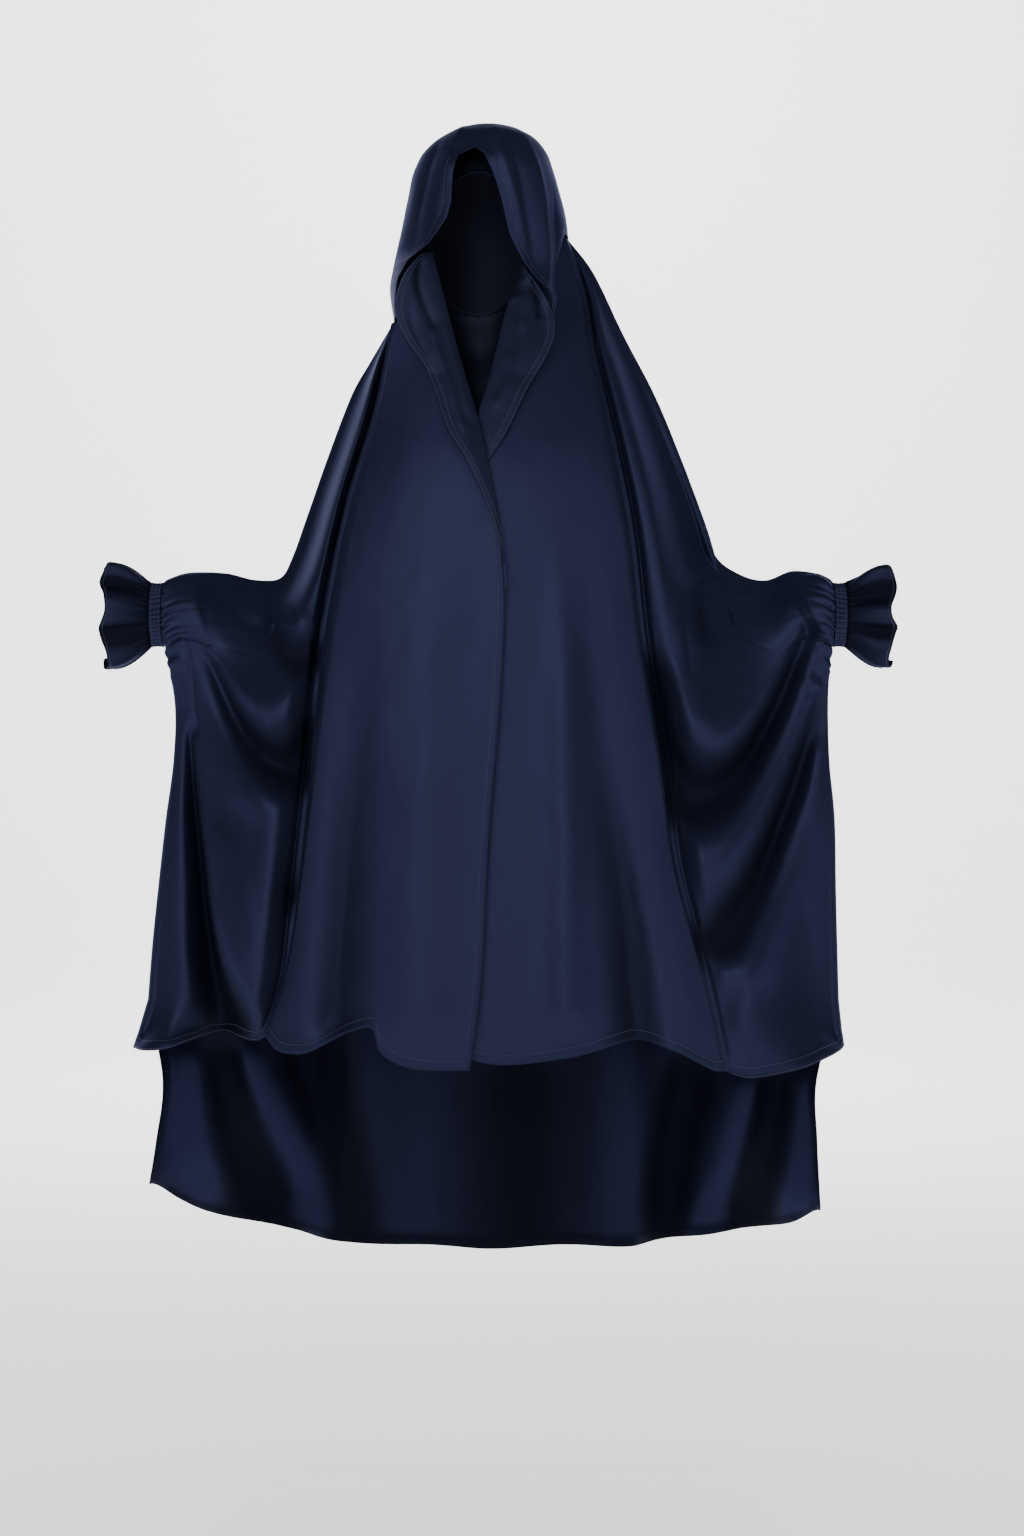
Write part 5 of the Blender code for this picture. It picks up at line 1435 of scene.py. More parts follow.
@dataclass
class FrontPanel:
    """One half of the front drape, with its hemmed centre edge, hem and curled fold edge."""

    side: Side
    edge_rows: Rows
    inner_rows: Rows
    hem_rows: Rows
    layer: int
    folds: Sequence[Fold] = ()
    rows: int = 230
    columns: int = 84
    curl: float = 0.014
    curl_columns: int = 14
    edge_hem: float = 0.010
    low_hem: float = 0.014
    edge_stitches: float = 0.0085
    low_stitches: float = 0.012
    uneven: tuple[float, float] = (0.0011, 0.0004)
    # Painted shade in the folds' troughs: its strength, and the trough depths over which it grows
    shade: float = 0.62
    shade_depths: tuple[float, float] = (0.002, 0.024)
    curl_end: tuple[float, float] = (0.95, 1.05)

    def grid(self) -> Array:
        """Points of the panel."""
        shares = np.linspace(0, 1, self.rows) ** 1.1
        edge = Drape.edge(self.edge_rows, shares)
        inner = Drape.flat_line(self.inner_rows, shares)
        across = 1 - (1 - np.linspace(0, 1, self.columns)) ** 1.25
        top = inner[0] + (edge[0] - inner[0]) * across[:, None]
        hem = Drape.flat_line(self.hem_rows, across)
        hem[0], hem[-1] = inner[-1], edge[-1]
        grid = coons(top, hem, inner, edge)
        x, z = grid[..., 0], grid[..., 2]
        fade = np.clip((1.0 - across)[None] * 4, 0.0, 1.0)
        lift = all_folds(self.folds, x, z) * fade
        grid[..., 1] = Drape.depth(x, z, self.edge_rows) - lift - self.layer * CUT.layer_step
        grid[:, -1] = edge
        turn = np.linspace(0, 1, self.curl_columns + 1)[1:]
        bend = np.sin(turn * math.pi / 2)
        swing = np.stack([-self.side.value * turn ** 1.74, 1.1 * bend, 0 * turn], axis=1)
        size = self.curl * (1 - 0.985 * eased(-edge[:, 2], *self.curl_end))
        return np.concatenate([grid, edge[:, None] + swing[None] * size[:, None, None]], axis=1)

    def build(self, wardrobe: Wardrobe) -> bpy.types.Object:
        """Build and dress the panel.

        Args:
            wardrobe: The finishes.

        Returns:
            The finished piece.
        """
        grid = self.grid()
        out = facing_normals(grid, (0, -1, 0))
        lift, mask = hem_lift(grid, [Edge.FIRST], self.edge_hem)
        low, low_mask = hem_lift(grid, [Edge.BOTTOM], self.low_hem)
        x, z = grid[..., 0], grid[..., 2]
        seed = 3.1 + self.layer
        soft = self.uneven[0] * ripple(x, z, seed, 7.0, 1.6)
        soft = soft + self.uneven[1] * ripple(x, z, seed + 2, 22.0, 5.0)
        inside = np.minimum(away(grid, Edge.FIRST), away(grid, Edge.LAST))
        soft *= eased(inside, 0.0, 0.04)
        grid = grid + out * (np.maximum(lift, low) + soft)[..., None]
        # Painted shade in the troughs of the folds
        painted_shade = self.shade * eased(-all_folds(self.folds, x, z), *self.shade_depths)
        sheet = Sheet(self.side.word + "_front_panel", grid, np.maximum(mask, low_mask), painted_shade=painted_shade)
        sheet.build(wardrobe.satin, wardrobe.reverse, Vector((0, -1, 0)))
        lines = [seam_line(grid, Edge.FIRST, self.edge_stitches, out, 8),
                 seam_line(grid, Edge.BOTTOM, self.low_stitches, out, 3)]
        stitches = Stitching().sew(self.side.word + "_panel_stitches", lines, wardrobe.thread)
        sheet.declare([stitches])
        return sheet.item


@dataclass
class Lapel:
    """One turned-back lapel, from its roll to the hemmed edge."""

    side: Side
    roll_rows: Rows
    edge_rows: Rows
    drape_rows: Rows
    layer: int
    dents: Sequence[Fold]
    cut: tuple[float, float] = (0.070, 0.400)
    area: float = 0.0150
    rows: int = 130
    columns: int = 34
    seat: float = 0.0022
    roll: float = 0.006
    flare: float = 0.022
    top: float = 0.200
    loose: float = 0.280
    hem: float = 0.010
    stitches: tuple[float, float] = (0.0085, 0.0015)
    uneven: float = 0.0009
    dent_size: float = 1.5
    # Dent depths over which the painted shade grows
    dent_depths: tuple[float, float] = (0.0008, 0.0045)

    def grid(self) -> Array:
        """Points of the lapel."""
        shares = np.linspace(0, 1, self.rows)
        roll = Drape.flat_line(self.roll_rows, shares)
        edge = Drape.flat_line(self.edge_rows, shares)
        across = np.linspace(0, 1, self.columns)[None, :, None] ** 1.3
        grid = roll[:, None] * (1 - across) + edge[:, None] * across
        across = across[..., 0]
        x, z = grid[..., 0], grid[..., 2]
        fade = np.sin(math.pi * shares)[:, None]
        proud = self.layer * CUT.layer_step + self.seat
        proud = proud + self.roll * fade * np.sin(math.pi * across / 2) ** 0.7
        down = (CUT.crown_rise - z) / CUT.front_length
        near = np.clip((self.loose - down) / (self.loose - self.top), 0.0, 1.0)
        grid[..., 1] = Drape.depth(x, z, self.drape_rows) - proud - self.flare * near * across
        return grid

    def build(self, wardrobe: Wardrobe) -> bpy.types.Object:
        """Build and dress the lapel.

        Args:
            wardrobe: The finishes.

        Returns:
            The finished piece.
        """
        grid = self.grid()
        out = facing_normals(grid, (0, -1, 0))
        lift, mask = hem_lift(grid, [Edge.LAST], self.hem)
        x, z = grid[..., 0], grid[..., 2]
        dents = self.dent_size * all_folds(self.dents, x, z)
        # Painted shade in the dents
        painted_shade = eased(-dents, *self.dent_depths)
        lift = lift + dents * eased(away(grid, Edge.FIRST), 0.0, 0.01)
        inside = np.minimum(away(grid, Edge.FIRST), away(grid, Edge.TOP))
        soft = self.uneven * (1 + ripple(x, z, 5.0 + self.layer, 14.0, 8.0)) * eased(inside, 0.0, 0.02)
        grid = grid + out * (lift + soft)[..., None]
        sheet = Sheet(self.side.word + "_lapel", grid, mask, painted_shade=painted_shade)
        sheet.build(wardrobe.turned, wardrobe.satin, Vector((0, -1, 0)))
        lines = [seam_line(grid, Edge.LAST, inwards, out, 3) for inwards in self.stitches]
        stitches = Stitching().sew(self.side.word + "_lapel_stitches", lines, wardrobe.thread)
        sheet.declare([stitches])
        return sheet.item


@dataclass
class Wrist:
    """Where a sleeve ends and how its edge runs on to the side seam."""

    side: Side
    reach: float
    side_rows: Rows
    arc_rows: int = 5
    seam_rows: int = 9
    gather: float = 0.0036
    fine_gather: float = 0.0014
    gather_end: float = 1.25

    def centre(self) -> Array:
        """Middle of the wrist opening."""
        z = CUT.crown_rise - CUT.wrist_drop - CUT.wrist_radius
        return np.array((self.side.value * self.reach, -CUT.wrist_stand, z))

    def edge(self, places: Array, tail: Array, tail_rows: int, facing: int) -> tuple[Array, Array]:
        """Outer edge of a sheet: half of the wrist opening, the side seam, then the tail.

        Args:
            places: Shares of the way down, 0 to 1.
            tail: Points after the side seam.
            tail_rows: The tail's part of the way, in rows.
            facing: -1 in front, 1 behind.

        Returns:
            The line and how far the round opening bulges at each place.
        """
        total = self.arc_rows + self.seam_rows + tail_rows
        row = places * total
        angle = math.pi * np.clip(row / self.arc_rows, 0, 1)
        centre = self.centre()
        arc = np.stack([0 * angle + centre[0], 0 * angle + centre[1],
                        centre[2] + CUT.wrist_radius * np.cos(angle)], axis=1)
        seam = CUT.points(self.side_rows, CUT.hem_half, CUT.front_length, CUT.front_stand)
        start = centre - (0, 0, CUT.wrist_radius)
        down = smooth_rows(np.vstack([start, seam]), np.clip((row - self.arc_rows) / self.seam_rows, 0, 1))
        last = smooth_rows(np.vstack([seam[-1:], tail]),
                           np.clip((row - self.arc_rows - self.seam_rows) / tail_rows, 0, 1))
        line = np.where((row < self.arc_rows)[:, None], arc,
                        np.where((row < self.arc_rows + self.seam_rows)[:, None], down, last))
        bulge = np.where(row < self.arc_rows, facing * CUT.wrist_radius * np.sin(angle), 0.0)
        return line, bulge

    def arm(self, arm_rows: Rows, way: float, shares: Array) -> Array:
        """Seam from the hood's side over the arm to the wrist."""
        neck = HoodShape().neck_point(np.array([way]))[0]
        points = CUT.points(arm_rows, self.reach, CUT.wrist_drop, CUT.wrist_stand)
        return smooth_rows(np.vstack([neck, points]), shares)

    def gathers(self, places: Array, distance: Array, total: int, seed: float) -> Array:
        """Fine pleats that run into the elastic, fading away from it.

        Args:
            places: Share of the way down of each row.
            distance: From the outer edge.
            total: All the rows of the outer edge.
            seed: Moves the pleats.

        Returns:
            Lift at each point.
        """
        turn = np.clip(places * total / self.arc_rows, 0, self.gather_end)[:, None]
        uneven = 0.35 * np.sin(9.0 * turn + seed) + 0.2 * np.sin(23.0 * turn + 2 * seed)
        wave = np.sin(2 * math.pi * (7.5 * turn + uneven))
        fine = np.sin(2 * math.pi * (15.0 * turn + 2 * uneven) + seed)
        near = np.exp(-distance / 0.017) * eased(distance, 0.0, 0.005)
        reach = 1 - eased(turn, 1.05, self.gather_end)
        fine = self.fine_gather * fine * np.exp(-distance / 0.013)
        return (self.gather * wave * near + fine) * reach


@dataclass
class Wing:
    """The front of one batwing sleeve, hung from the arm seam to the front hem."""

    wrist: Wrist
    arm_rows: Rows
    corner: Rows
    hem_rows: Rows
    edge_rows: Rows
    way: float
    folds: Sequence[Fold]
    knots: Sequence[Fold]
    rows: int = 190
    columns: int = 150
    tail_rows: int = 2
    neck_columns: int = 2
    arm_columns: int = 12
    tuck_in: float = 0.0126
    tuck_out: float = 0.0182
    tuck_back: float = 0.0173
    tuck_merged: float = 0.0014
    tuck_rise: float = 0.0085
    tuck_narrowing: float = 0.0045
    merge_from: float = 0.95
    merge_to: float = 1.05
    free_edge: float = 0.030
    sink: float = 0.009
    swing: float = 1.3
    hem: float = 0.016
    uneven: tuple[float, float] = (0.0012, 0.0004)
    # Painted shade: the swag depths over which it grows, and its reach from the drape's fold edge
    shade_depths: tuple[float, float] = (0.008, 0.030)
    shade_edge: float = 0.035
    stitches: tuple[float, float] = (0.0135, 0.002)

    def build(self, wardrobe: Wardrobe) -> bpy.types.Object:
        """Build and dress the sleeve's front.

        Args:
            wardrobe: The finishes.

        Returns:
            The finished piece.
        """
        side = self.wrist.side.value
        total = self.wrist.arc_rows + self.wrist.seam_rows + self.tail_rows
        places = np.linspace(0, 1, self.rows) ** 1.5
        across = 1 - (1 - np.linspace(0, 1, self.columns)) ** 1.35
        inner = Drape.edge(self.edge_rows, places ** 1.25)
        merged = eased(-inner[:, 2], self.merge_from, self.merge_to)[:, None]
        back = self.tuck_back + merged * (self.tuck_merged - self.tuck_back)
        inner = inner + np.concatenate([0 * back - side * self.tuck_in, back, 0 * back], axis=1)
        tuck = inner + np.concatenate([side * (self.tuck_out - self.tuck_narrowing * merged),
                                       (merged - 1) * self.tuck_rise, 0 * merged], axis=1)
        tail = CUT.points(self.corner, CUT.hem_half, CUT.front_length, CUT.front_stand)
        outer, bulge = self.wrist.edge(places, tail, self.tail_rows, -1)
        top = self._top(tuck[0], across)
        hem = CUT.points(self.hem_rows, CUT.hem_half, CUT.front_length, CUT.front_stand)
        hem = smooth_rows(np.vstack([tuck[-1], hem, outer[-1]]), across)
        grid = coons(top, hem, tuck, outer)
        x, z = grid[..., 0], grid[..., 2]
        below, inside, behind = (gap_to(line, x, z) for line in (grid[0], grid[:, -1], grid[:, 0]))
        grid[..., 1] = spread_depth(grid)
        crown = 1 - np.exp(-below / (0.6 * CUT.arm_round))
        full = CUT.arm_round * crown * rounded(inside, CUT.side_round)
        fade = crown * rounded(inside, CUT.side_round)
        free = eased(behind, 0.0, self.free_edge)
        hang = self.swing * swags(self.folds, x, z) - self.sink * eased(below, 0.0, 0.12)
        # Painted shade in the swags' valleys, and a faint band along the drape's fold edge above where the
        # wing merges
        near = 1 - eased(behind, 0.0, self.shade_edge)
        painted_shade = fade * eased(-hang, *self.shade_depths) * (0.9 + 0.1 * near) + 0.1 * near * (1 - merged)
        painted_shade = softened(np.clip(painted_shade, 0.0, 1.0), 3)
        hang = np.where(hang > 0, hang * free, hang * (0.35 + 0.65 * free) * (1 - merged * (1 - free)))
        grid[..., 1] -= free * full * 0.42 + softened(fade * hang, 4)
        grid[..., 1] += bulge[:, None] * np.clip(1.0 - inside / CUT.wrist_fade, 0.0, 1.0) ** 2
        grid[..., 1] -= CUT.gap / 2
        out = facing_normals(grid, (0, -1, 0.3))
        pleats = self.wrist.gathers(places, inside, total, 1.3 + side)
        soft = self.uneven[0] * ripple(x, z, 8.0 + side, 9.0, 3.0)
        soft = soft + self.uneven[1] * ripple(x + z, z - x, 4.0 + side, 20.0, 9.0)
        soft *= eased(np.minimum(np.minimum(below, inside), behind), 0.0, 0.05)
        lift, mask = hem_lift(grid, [Edge.BOTTOM], self.hem)
        knots = all_folds(self.knots, x, z) * rounded(inside, 0.012) * rounded(below, 0.012)
        grid = grid + out * (pleats + soft + lift + knots)[..., None]
        grid = np.concatenate([(inner + (grid[:, 0] - tuck) * 0.5)[:, None], grid], axis=1)
        out = np.concatenate([out[:, :1], out], axis=1)
        mask, painted_shade = (np.concatenate([values[:, :1], values], axis=1) for values in (mask, painted_shade))
        sheet = Sheet(self.wrist.side.word + "_wing", grid, mask, painted_shade=painted_shade)
        sheet.build(wardrobe.satin, wardrobe.reverse, Vector((0, -1, 0)))
        lines = [seam_line(grid, Edge.BOTTOM, inwards, out, 8) for inwards in self.stitches]
        stitches = Stitching().sew(self.wrist.side.word + "_wing_stitches", lines, wardrobe.thread)
        sheet.declare([stitches])
        return sheet.item

    def _top(self, start: Array, across: Array) -> Array:
        """Upper edge: the short neck piece, then the seam over the arm."""
        split = self.neck_columns / (self.neck_columns + self.arm_columns)
        arm = self.wrist.arm(self.arm_rows, self.way, np.clip((across - split) / (1 - split), 0, 1))
        share = np.clip(across / split, 0, 1)[:, None]
        neck = start * (1 - share) + self.wrist.arm(self.arm_rows, self.way, np.zeros(1)) * share
        return np.where((across < split)[:, None], neck, arm)


@dataclass
class BackPanel:
    """The long back from wrist to wrist, with its hanging folds and faced lower edge."""

    right: Wrist
    left: Wrist
    rows: int = 190
    columns: int = 250
    tail_rows: int = 5
    arm_columns: int = 12
    neck_columns: int = 8
    neck_shares: tuple[float, float] = (0.30, 0.70)
    facing: float = 0.012
    fold_width: float = 0.045
    fold_size: float = 0.040
    stand: float = 0.125
    stand_width: float = 0.26
    stand_below: float = 0.24
    stand_beside: float = 0.15
    stand_fade: tuple[float, float] = (0.80, 1.30)
    slant_from: tuple[float, float] = (0.98, 1.14)
    slant_size: float = 1.5
    uneven: tuple[float, float] = (0.0016, 0.0005)
    # Painted shade over the lower back: its base strength, and the recess depth over which it deepens
    shade: float = 0.62
    shade_depth: float = 0.020

    def build(self, wardrobe: Wardrobe) -> bpy.types.Object:
        """Build and dress the back.

        Args:
            wardrobe: The finishes.

        Returns:
            The finished piece.
        """
        total = self.right.arc_rows + self.right.seam_rows + self.tail_rows
        places = np.linspace(0, 1, self.rows) ** 1.35
        t = np.linspace(-1, 1, self.columns)
        across = 0.5 + 0.5 * np.sign(t) * (1 - (1 - np.abs(t)) ** 1.25)
        top, hem = self._top(across), self._hem(across)
        edges = []
        for wrist, slit, corner in ((self.right, RIGHT_SLIT, hem[0]), (self.left, LEFT_SLIT, hem[-1])):
            tail = np.vstack([CUT.points(slit, CUT.hem_half, CUT.back_length, CUT.back_stand), corner])
            edges.append(wrist.edge(places, tail, self.tail_rows, 1))
        grid = coons(top, hem, edges[0][0], edges[1][0])
        x, z = grid[..., 0], grid[..., 2]
        below, to_right, to_left = (gap_to(line, x, z) for line in (grid[0], grid[:, 0], grid[:, -1]))
        inside = np.minimum(np.minimum(below, to_right), to_left)
        stand = eased(below, 0.0, self.stand_below)
        stand *= eased(np.minimum(to_right, to_left), 0.0, self.stand_beside)
        stand *= np.exp(-(x / self.stand_width) ** 2) * (1 - eased(-z, *self.stand_fade))
        grid[..., 1] = spread_depth(grid) + self.stand * stand
        round_all = rounded(below, CUT.arm_round) * rounded(to_right, CUT.side_round)
        round_all *= rounded(to_left, CUT.side_round)
        columns = self.neck_columns + 2 * self.arm_columns
        from_neck = np.abs(across * columns - columns / 2) - self.neck_columns / 2
        grid[..., 1] += CUT.arm_round * round_all * eased(from_neck, -1.2, 2.2)[None]
        for (_, bulge), far in zip(edges, (to_right, to_left)):
            grid[..., 1] += bulge[:, None] * np.clip(1.0 - far / CUT.wrist_fade, 0.0, 1.0) ** 2
        down = (CUT.crown_rise - z) / CUT.back_length
        for above, low, start, lift in BACK_FOLDS:
            middle = (above + (low - above) * down) * CUT.hem_half
            growth = np.clip((down - start) / (1.0 - start), 0.0, 1.0)
            width = self.fold_width * (0.6 + 0.7 * growth)
            bend = 0.006 * np.sin(z * 7.0 + above * 20.0) * growth
            crest = np.exp(-((x - middle - bend) / width) ** 2)
            grid[..., 1] += lift * self.fold_size * growth * crest * round_all
        low = eased(-z, *self.slant_from)
        slants = self.slant_size * swags(BACK_SLANTS, x, z, 0.2)
        grid[..., 1] += low * slants * rounded(to_right, 0.03) * rounded(to_left, 0.03)
        # Painted shade over the lower back below the front hem, deeper in the slants' recesses
        painted_shade = softened(low * np.clip(self.shade + slants / self.shade_depth, 0.0, 1.0), 2)
        grid[..., 1] += CUT.gap / 2
        out = facing_normals(grid, (0, 1, 0))
        soft = self.uneven[0] * ripple(x, z, 2.0, 6.0, 1.3) + self.uneven[1] * ripple(x, z, 6.0, 19.0, 4.0)
        soft *= eased(inside, 0.0, 0.06)
        pleats = self.right.gathers(places, to_right, total, 0.4)
        pleats = pleats + self.left.gathers(places, to_left, total, 2.2)
        lift, mask = hem_lift(grid, [Edge.BOTTOM], self.facing)
        open_side = (places * total > self.right.arc_rows + self.right.seam_rows + 0.2)[:, None]
        side_lift, side_mask = hem_lift(grid, [Edge.FIRST, Edge.LAST], self.facing)
        mask = np.maximum(mask, side_mask * open_side)
        grid = grid + out * (soft + pleats + np.maximum(lift, side_lift * open_side))[..., None]
        sheet = Sheet("back_panel", grid, mask, painted_shade=painted_shade)
        sheet.build(wardrobe.satin, wardrobe.reverse, Vector((0, 1, 0)))
        low = int(np.argmax(open_side[:, 0]))
        lines = [seam_line(grid, Edge.BOTTOM, self.facing * 0.85, out, 4)]
        for edge in (Edge.FIRST, Edge.LAST):
            lines.append(seam_line(grid, edge, self.facing * 0.85, out, 4)[low:])
        stitches = Stitching().sew("back_hem_stitches", lines, wardrobe.thread)
        sheet.declare([stitches])
        return sheet.item

    def _top(self, across: Array) -> Array:
        """Upper edge: right arm, neck, left arm."""
        columns = self.neck_columns + 2 * self.arm_columns
        place = across * columns
        shape = HoodShape()
        right = self.right.arm(RIGHT_ARM, shape.right_side, np.clip(1 - place / self.arm_columns, 0, 1))
        left = self.left.arm(LEFT_ARM, shape.left_side,
                             np.clip((place - self.arm_columns - self.neck_columns) / self.arm_columns, 0, 1))
        share = np.clip((place - self.arm_columns) / self.neck_columns, 0, 1)
        neck = shape.neck_point(shape.right_side + share * (shape.left_side - shape.right_side))
        return np.where((place < self.arm_columns)[:, None], right,
                        np.where((share < 1)[:, None], neck, left))

    def _hem(self, across: Array) -> Array:
        """Lower edge of the back."""
        columns = self.neck_columns + 2 * self.arm_columns
        knots = [0, self.arm_columns, self.arm_columns + self.neck_columns, columns]
        places = np.interp(across * columns, knots, [0.0, *self.neck_shares, 1.0])
        return smooth_rows(CUT.points(BACK_HEM, CUT.hem_half, CUT.back_length, CUT.back_stand), places)


@dataclass
class Cuff:
    """The elastic casing and the ruffle at one wrist."""

    wrist: Wrist
    casing_width: float = 0.014
    pleats: int = 38
    pleat_depth: float = 0.0013
    ruffle_length: float = 0.054
    flare: float = 0.024
    waves: int = 6
    wave_depth: float = 0.0115
    gap: float = 0.0003
    wall: float = 0.0008
    # Base strength of the painted shade over the whole ruffle
    shade: float = 0.34
    hem: float = 0.006

    def build(self, wardrobe: Wardrobe) -> list[bpy.types.Object]:
        """Build and dress the casing and the ruffle.

        Args:
            wardrobe: The finishes.

        Returns:
            The two pieces.
        """
        return [self._casing(wardrobe), self._ruffle(wardrobe)]

    def _ring(self, start: float, along: Array, radius: Array, angle: Array) -> Array:
        """Points round the arm at distances along it."""
        centre = self.wrist.centre()
        x = self.wrist.side.value * (start + along) + 0 * angle
        return np.stack([x, centre[1] + radius * np.sin(angle), centre[2] + radius * np.cos(angle)], axis=-1)

    def _raised(self, ring: Array) -> Array:
        """A ring of the cloth, moved out to where its thread lies."""
        out = ring - np.array((ring[:, 0].mean(), *self.wrist.centre()[1:]))
        return ring + out / np.linalg.norm(out, axis=1, keepdims=True) * CUT.thread_proud

    def _pleat(self, angle: Array, seed: float) -> Array:
        """Uneven small pleats round the wrist, -1 to 1."""
        uneven = 0.5 * np.sin(3 * angle + seed) + 0.3 * np.sin(7 * angle + 2 * seed)
        return np.sin(self.pleats * angle + uneven * 2.0)

    def _casing(self, wardrobe: Wardrobe) -> bpy.types.Object:
        """The shirred casing."""
        angle = np.linspace(0, 2 * math.pi, 320, endpoint=False)[None]
        share = np.linspace(0, 1, 15)[:, None]
        seed = 1.0 + self.wrist.side.value
        belly = np.sin(math.pi * share)
        rows = np.cos(share * math.pi * 6) * 0.00035
        radius = (CUT.wrist_radius - 0.0012 * belly + rows
                  + self.pleat_depth * (0.65 + 0.35 * belly) * self._pleat(angle + 0.05 * share, seed))
        start = self.wrist.reach + self.wall + self.gap
        grid = self._ring(start, self.casing_width * share, radius, angle)
        sheet = Sheet(self.wrist.side.word + "_casing", grid, None, Shell.TUBE, 0.0011)
        sheet.build(wardrobe.satin, wardrobe.reverse)
        lines = [self._raised(grid[row]) for row in (2, 7, 12)]
        word = self.wrist.side.word
        stitches = Stitching(0.0018, 0.0026).sew(word + "_casing_stitches", lines, wardrobe.thread)
        sheet.declare([stitches])
        return sheet.item

    def _ruffle(self, wardrobe: Wardrobe) -> bpy.types.Object:
        """The waved ruffle."""
        angle = np.linspace(0, 2 * math.pi, 336, endpoint=False)[None]
        share = np.linspace(0, 1, 28)[:, None]
        seed = 2.0 + self.wrist.side.value
        uneven = 0.30 * np.sin(2 * angle + seed) + 0.25 * np.sin(5 * angle + 3 * seed)
        big = 1.0 - 2.0 * np.abs(np.cos(0.5 * self.waves * angle + 1.2 * uneven)) ** 2.6
        fine = np.cos((2 * self.waves + 3) * angle + seed + 2 * uneven)
        pleat = self._pleat(angle, seed) * self.pleat_depth * np.exp(-share * 5.0)
        radius = (CUT.wrist_radius + self.flare * np.sin(share * math.pi / 2) ** 0.85
                  + self.wave_depth * np.sin(share * 2.0) * (0.70 * big + 0.14 * fine) + pleat)
        start = self.wrist.reach + self.wall + self.casing_width + 2 * self.gap + self.wall
        sway = np.sin(self.waves * angle + 1.0 + 1.6 * uneven)
        along = self.ruffle_length * share + 0.4 * self.wave_depth * share ** 2 * sway
        grid = self._ring(start, along, radius, angle)
        hem = np.where(self.ruffle_length * (1 - share) < self.hem, 1.0, 0.0) + 0 * angle
        # Painted shade: a base tone over the ruffle, more in the wave hollows and next to the casing
        hollow_shade = 1.1 * eased(-big, -0.6, 0.5) * np.sin(0.3 + share * 2.2)
        painted_shade = np.clip(self.shade + hollow_shade + 0.5 * np.exp(-share * 7.0), 0.0, 1.0)
        sheet = Sheet(self.wrist.side.word + "_ruffle", grid, hem, Shell.TUBE, painted_shade=painted_shade)
        sheet.build(wardrobe.satin, wardrobe.reverse)
        word = self.wrist.side.word
        stitches = Stitching().sew(word + "_ruffle_stitches", [self._raised(grid[25])], wardrobe.thread)
        sheet.declare([stitches])
        return sheet.item


@dataclass(frozen=True)
class Lamp:
    """One soft round light that looks at a point."""

    name: str
    place: tuple[float, float, float]
    aim: tuple[float, float, float]
    size: float
    power: float

    def build(self) -> None:
        """Hang the light."""
        lamp = bpy.data.lights.new(self.name, "AREA")
        lamp.shape = "DISK"
        lamp.size = self.size
        lamp.energy = self.power
        item = placed(self.name, lamp)
        item.location = self.place
        way = Vector(self.aim) - Vector(self.place)
        item.rotation_euler = way.to_track_quat("-Z", "Y").to_euler()
        item.visible_camera = False


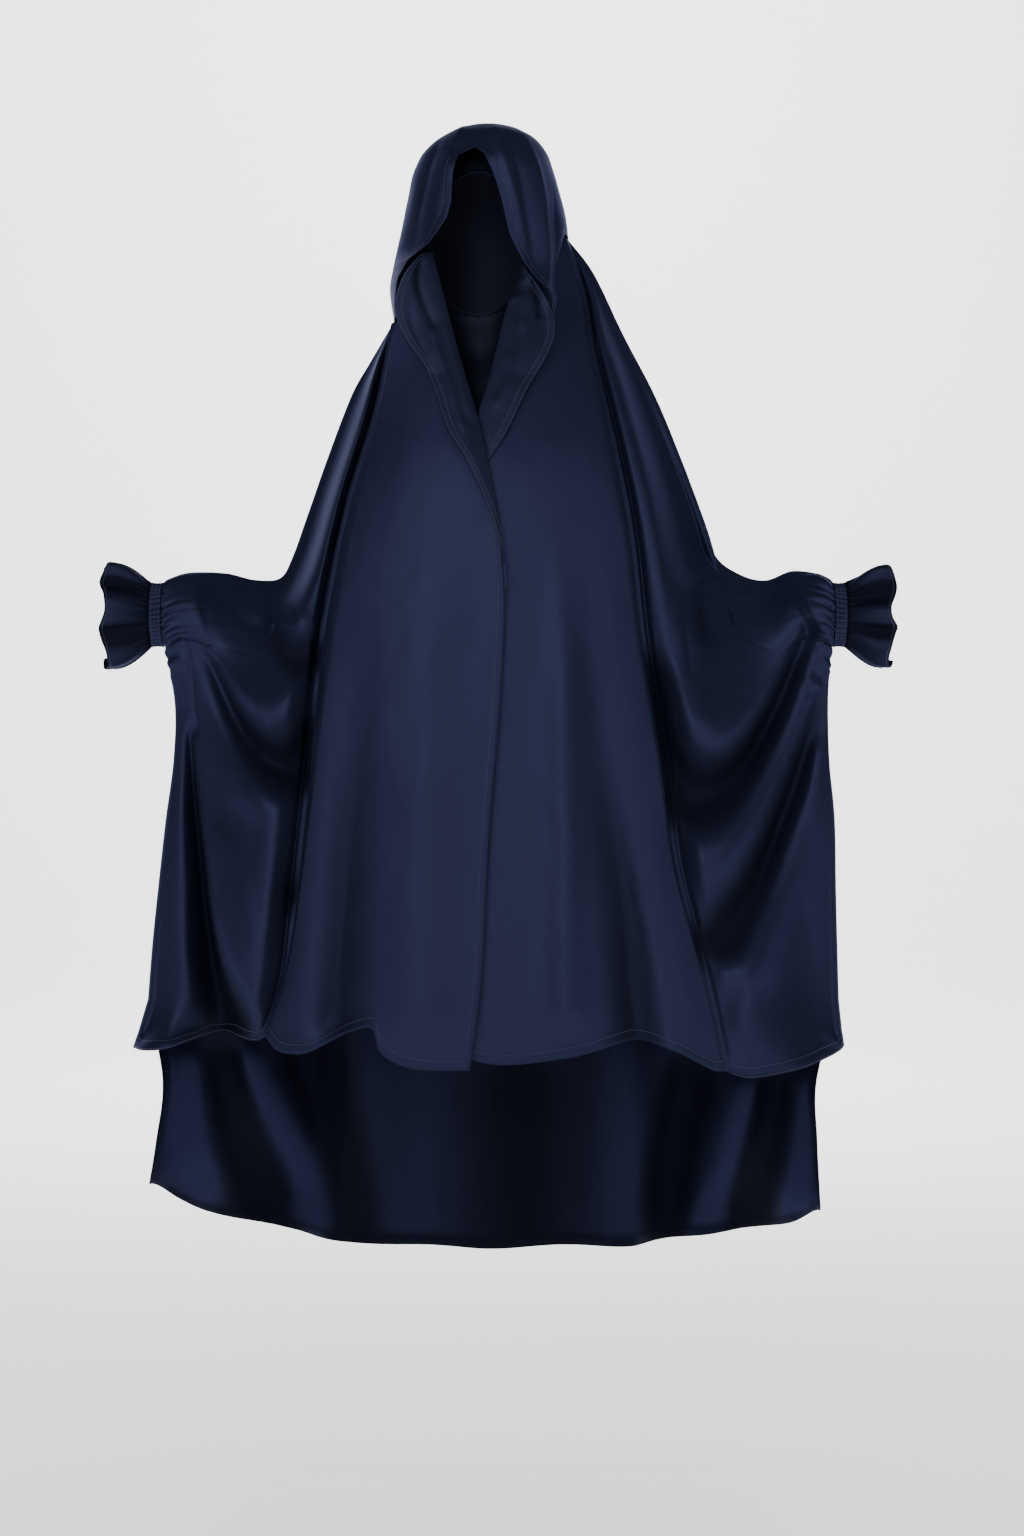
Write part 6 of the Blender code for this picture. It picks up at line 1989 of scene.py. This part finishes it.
@dataclass
class Studio:
    """Pale floor and backdrop, soft lights and the camera."""

    floor: float = -1.650
    eye: tuple[float, float, float] = (0.030, -4.200, -0.786)
    lens: float = 79.1
    lamps: Sequence[Lamp] = (
        Lamp("key_light", (-1.3, -3.2, 0.4), (0.0, 0.0, -0.6), 2.4, 51.0),
        Lamp("fill_light", (2.4, -2.8, 0.2), (0.0, 0.0, -0.6), 2.2, 30.0),
        Lamp("backdrop_light", (0.0, 3.8, 3.0), (0.0, 7.6, -0.6), 3.4, 620.0),
        Lamp("floor_light", (0.0, -3.4, 0.4), (0.0, -1.0, -1.65), 1.6, 26.0))
    wall: float = 8.0
    wall_top: float = 4.5
    bend: float = 0.9
    air: float = 0.31

    def build(self) -> None:
        """Set up the studio."""
        self._sweep()
        for lamp in self.lamps:
            lamp.build()
        world = bpy.data.worlds.new("studio_air")
        world.use_nodes = True
        shade = world.node_tree.nodes["Background"]
        shade.inputs["Color"].default_value = (1.0, 0.99, 0.985, 1.0)
        shade.inputs["Strength"].default_value = self.air
        bpy.context.scene.world = world
        lens = bpy.data.cameras.new("studio_camera")
        lens.lens = self.lens
        lens.sensor_width = 36.0
        camera = placed("studio_camera", lens)
        camera.location = self.eye
        camera.rotation_euler = (math.pi / 2, 0.0, 0.0)
        bpy.context.scene.camera = camera

    def _sweep(self) -> None:
        """Floor and backdrop in one curved sheet."""
        profile = [(-self.wall, self.floor)]
        for angle in np.linspace(0, math.pi / 2, 17):
            profile.append((self.wall - self.bend + self.bend * math.sin(angle),
                            self.floor + self.bend - self.bend * math.cos(angle)))
        profile.append((self.wall, self.wall_top))
        points = [(x, y, z) for x in (-self.wall, self.wall) for y, z in profile]
        count = len(profile)
        quads = [(k, k + 1, k + 1 + count, k + count) for k in range(count - 1)]
        mesh = bpy.data.meshes.new("studio_sweep")
        mesh.from_pydata(points, [], quads)
        mesh.shade_smooth()
        mesh.materials.append(StudioPaper().make())
        placed("studio_sweep", mesh)


def hidden_overlap() -> Rows:
    """The left panel's inner edge: the lapel's roll, then the line behind the right panel."""
    lap = 0.060 / CUT.drape_half
    low = [(row[0] - row[2] * lap, row[1]) for row in HIDDEN_EDGE]
    return [*LEFT_ROLL, *low, LEFT_DRAPE_HEM[0]]


def main() -> None:
    """Build and dress every piece, then the studio."""
    logging.basicConfig(level=logging.INFO, format="%(message)s")
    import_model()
    wardrobe = Wardrobe()
    right = Wrist(Side.RIGHT, 0.398, RIGHT_SIDE)
    left = Wrist(Side.LEFT, 0.424, LEFT_SIDE)
    shape = HoodShape()
    pieces = [
        Hood(), InnerCap(),
        FrontPanel(Side.LEFT, LEFT_EDGE, hidden_overlap(), LEFT_DRAPE_HEM, 0, LEFT_PANEL_FOLDS),
        Lapel(Side.LEFT, LEFT_LAPEL_ROLL, LEFT_LAPEL_EDGE, LEFT_EDGE, 0, LEFT_DENTS, (0.070, 0.260), 0.0108),
        FrontPanel(Side.RIGHT, RIGHT_EDGE, RIGHT_ROLL, RIGHT_DRAPE_HEM, 2, RIGHT_PANEL_FOLDS),
        Lapel(Side.RIGHT, RIGHT_LAPEL_ROLL, RIGHT_LAPEL_EDGE, RIGHT_EDGE, 2, RIGHT_DENTS),
        Wing(right, RIGHT_ARM, RIGHT_CORNER, RIGHT_WING_HEM, RIGHT_EDGE, shape.right_side,
             RIGHT_WING_FOLDS, RIGHT_KNOTS),
        Wing(left, LEFT_ARM, LEFT_CORNER, LEFT_WING_HEM, LEFT_EDGE, shape.left_side,
             LEFT_WING_FOLDS, LEFT_KNOTS),
        BackPanel(right, left), Cuff(right), Cuff(left),
    ]
    for piece in pieces:
        made = piece.build(wardrobe)
        for item in made if isinstance(made, list) else [made]:
            LOG.info("%s: %d faces", item.name, len(item.data.polygons))
    Studio().build()


if __name__ == "__main__":
    main()
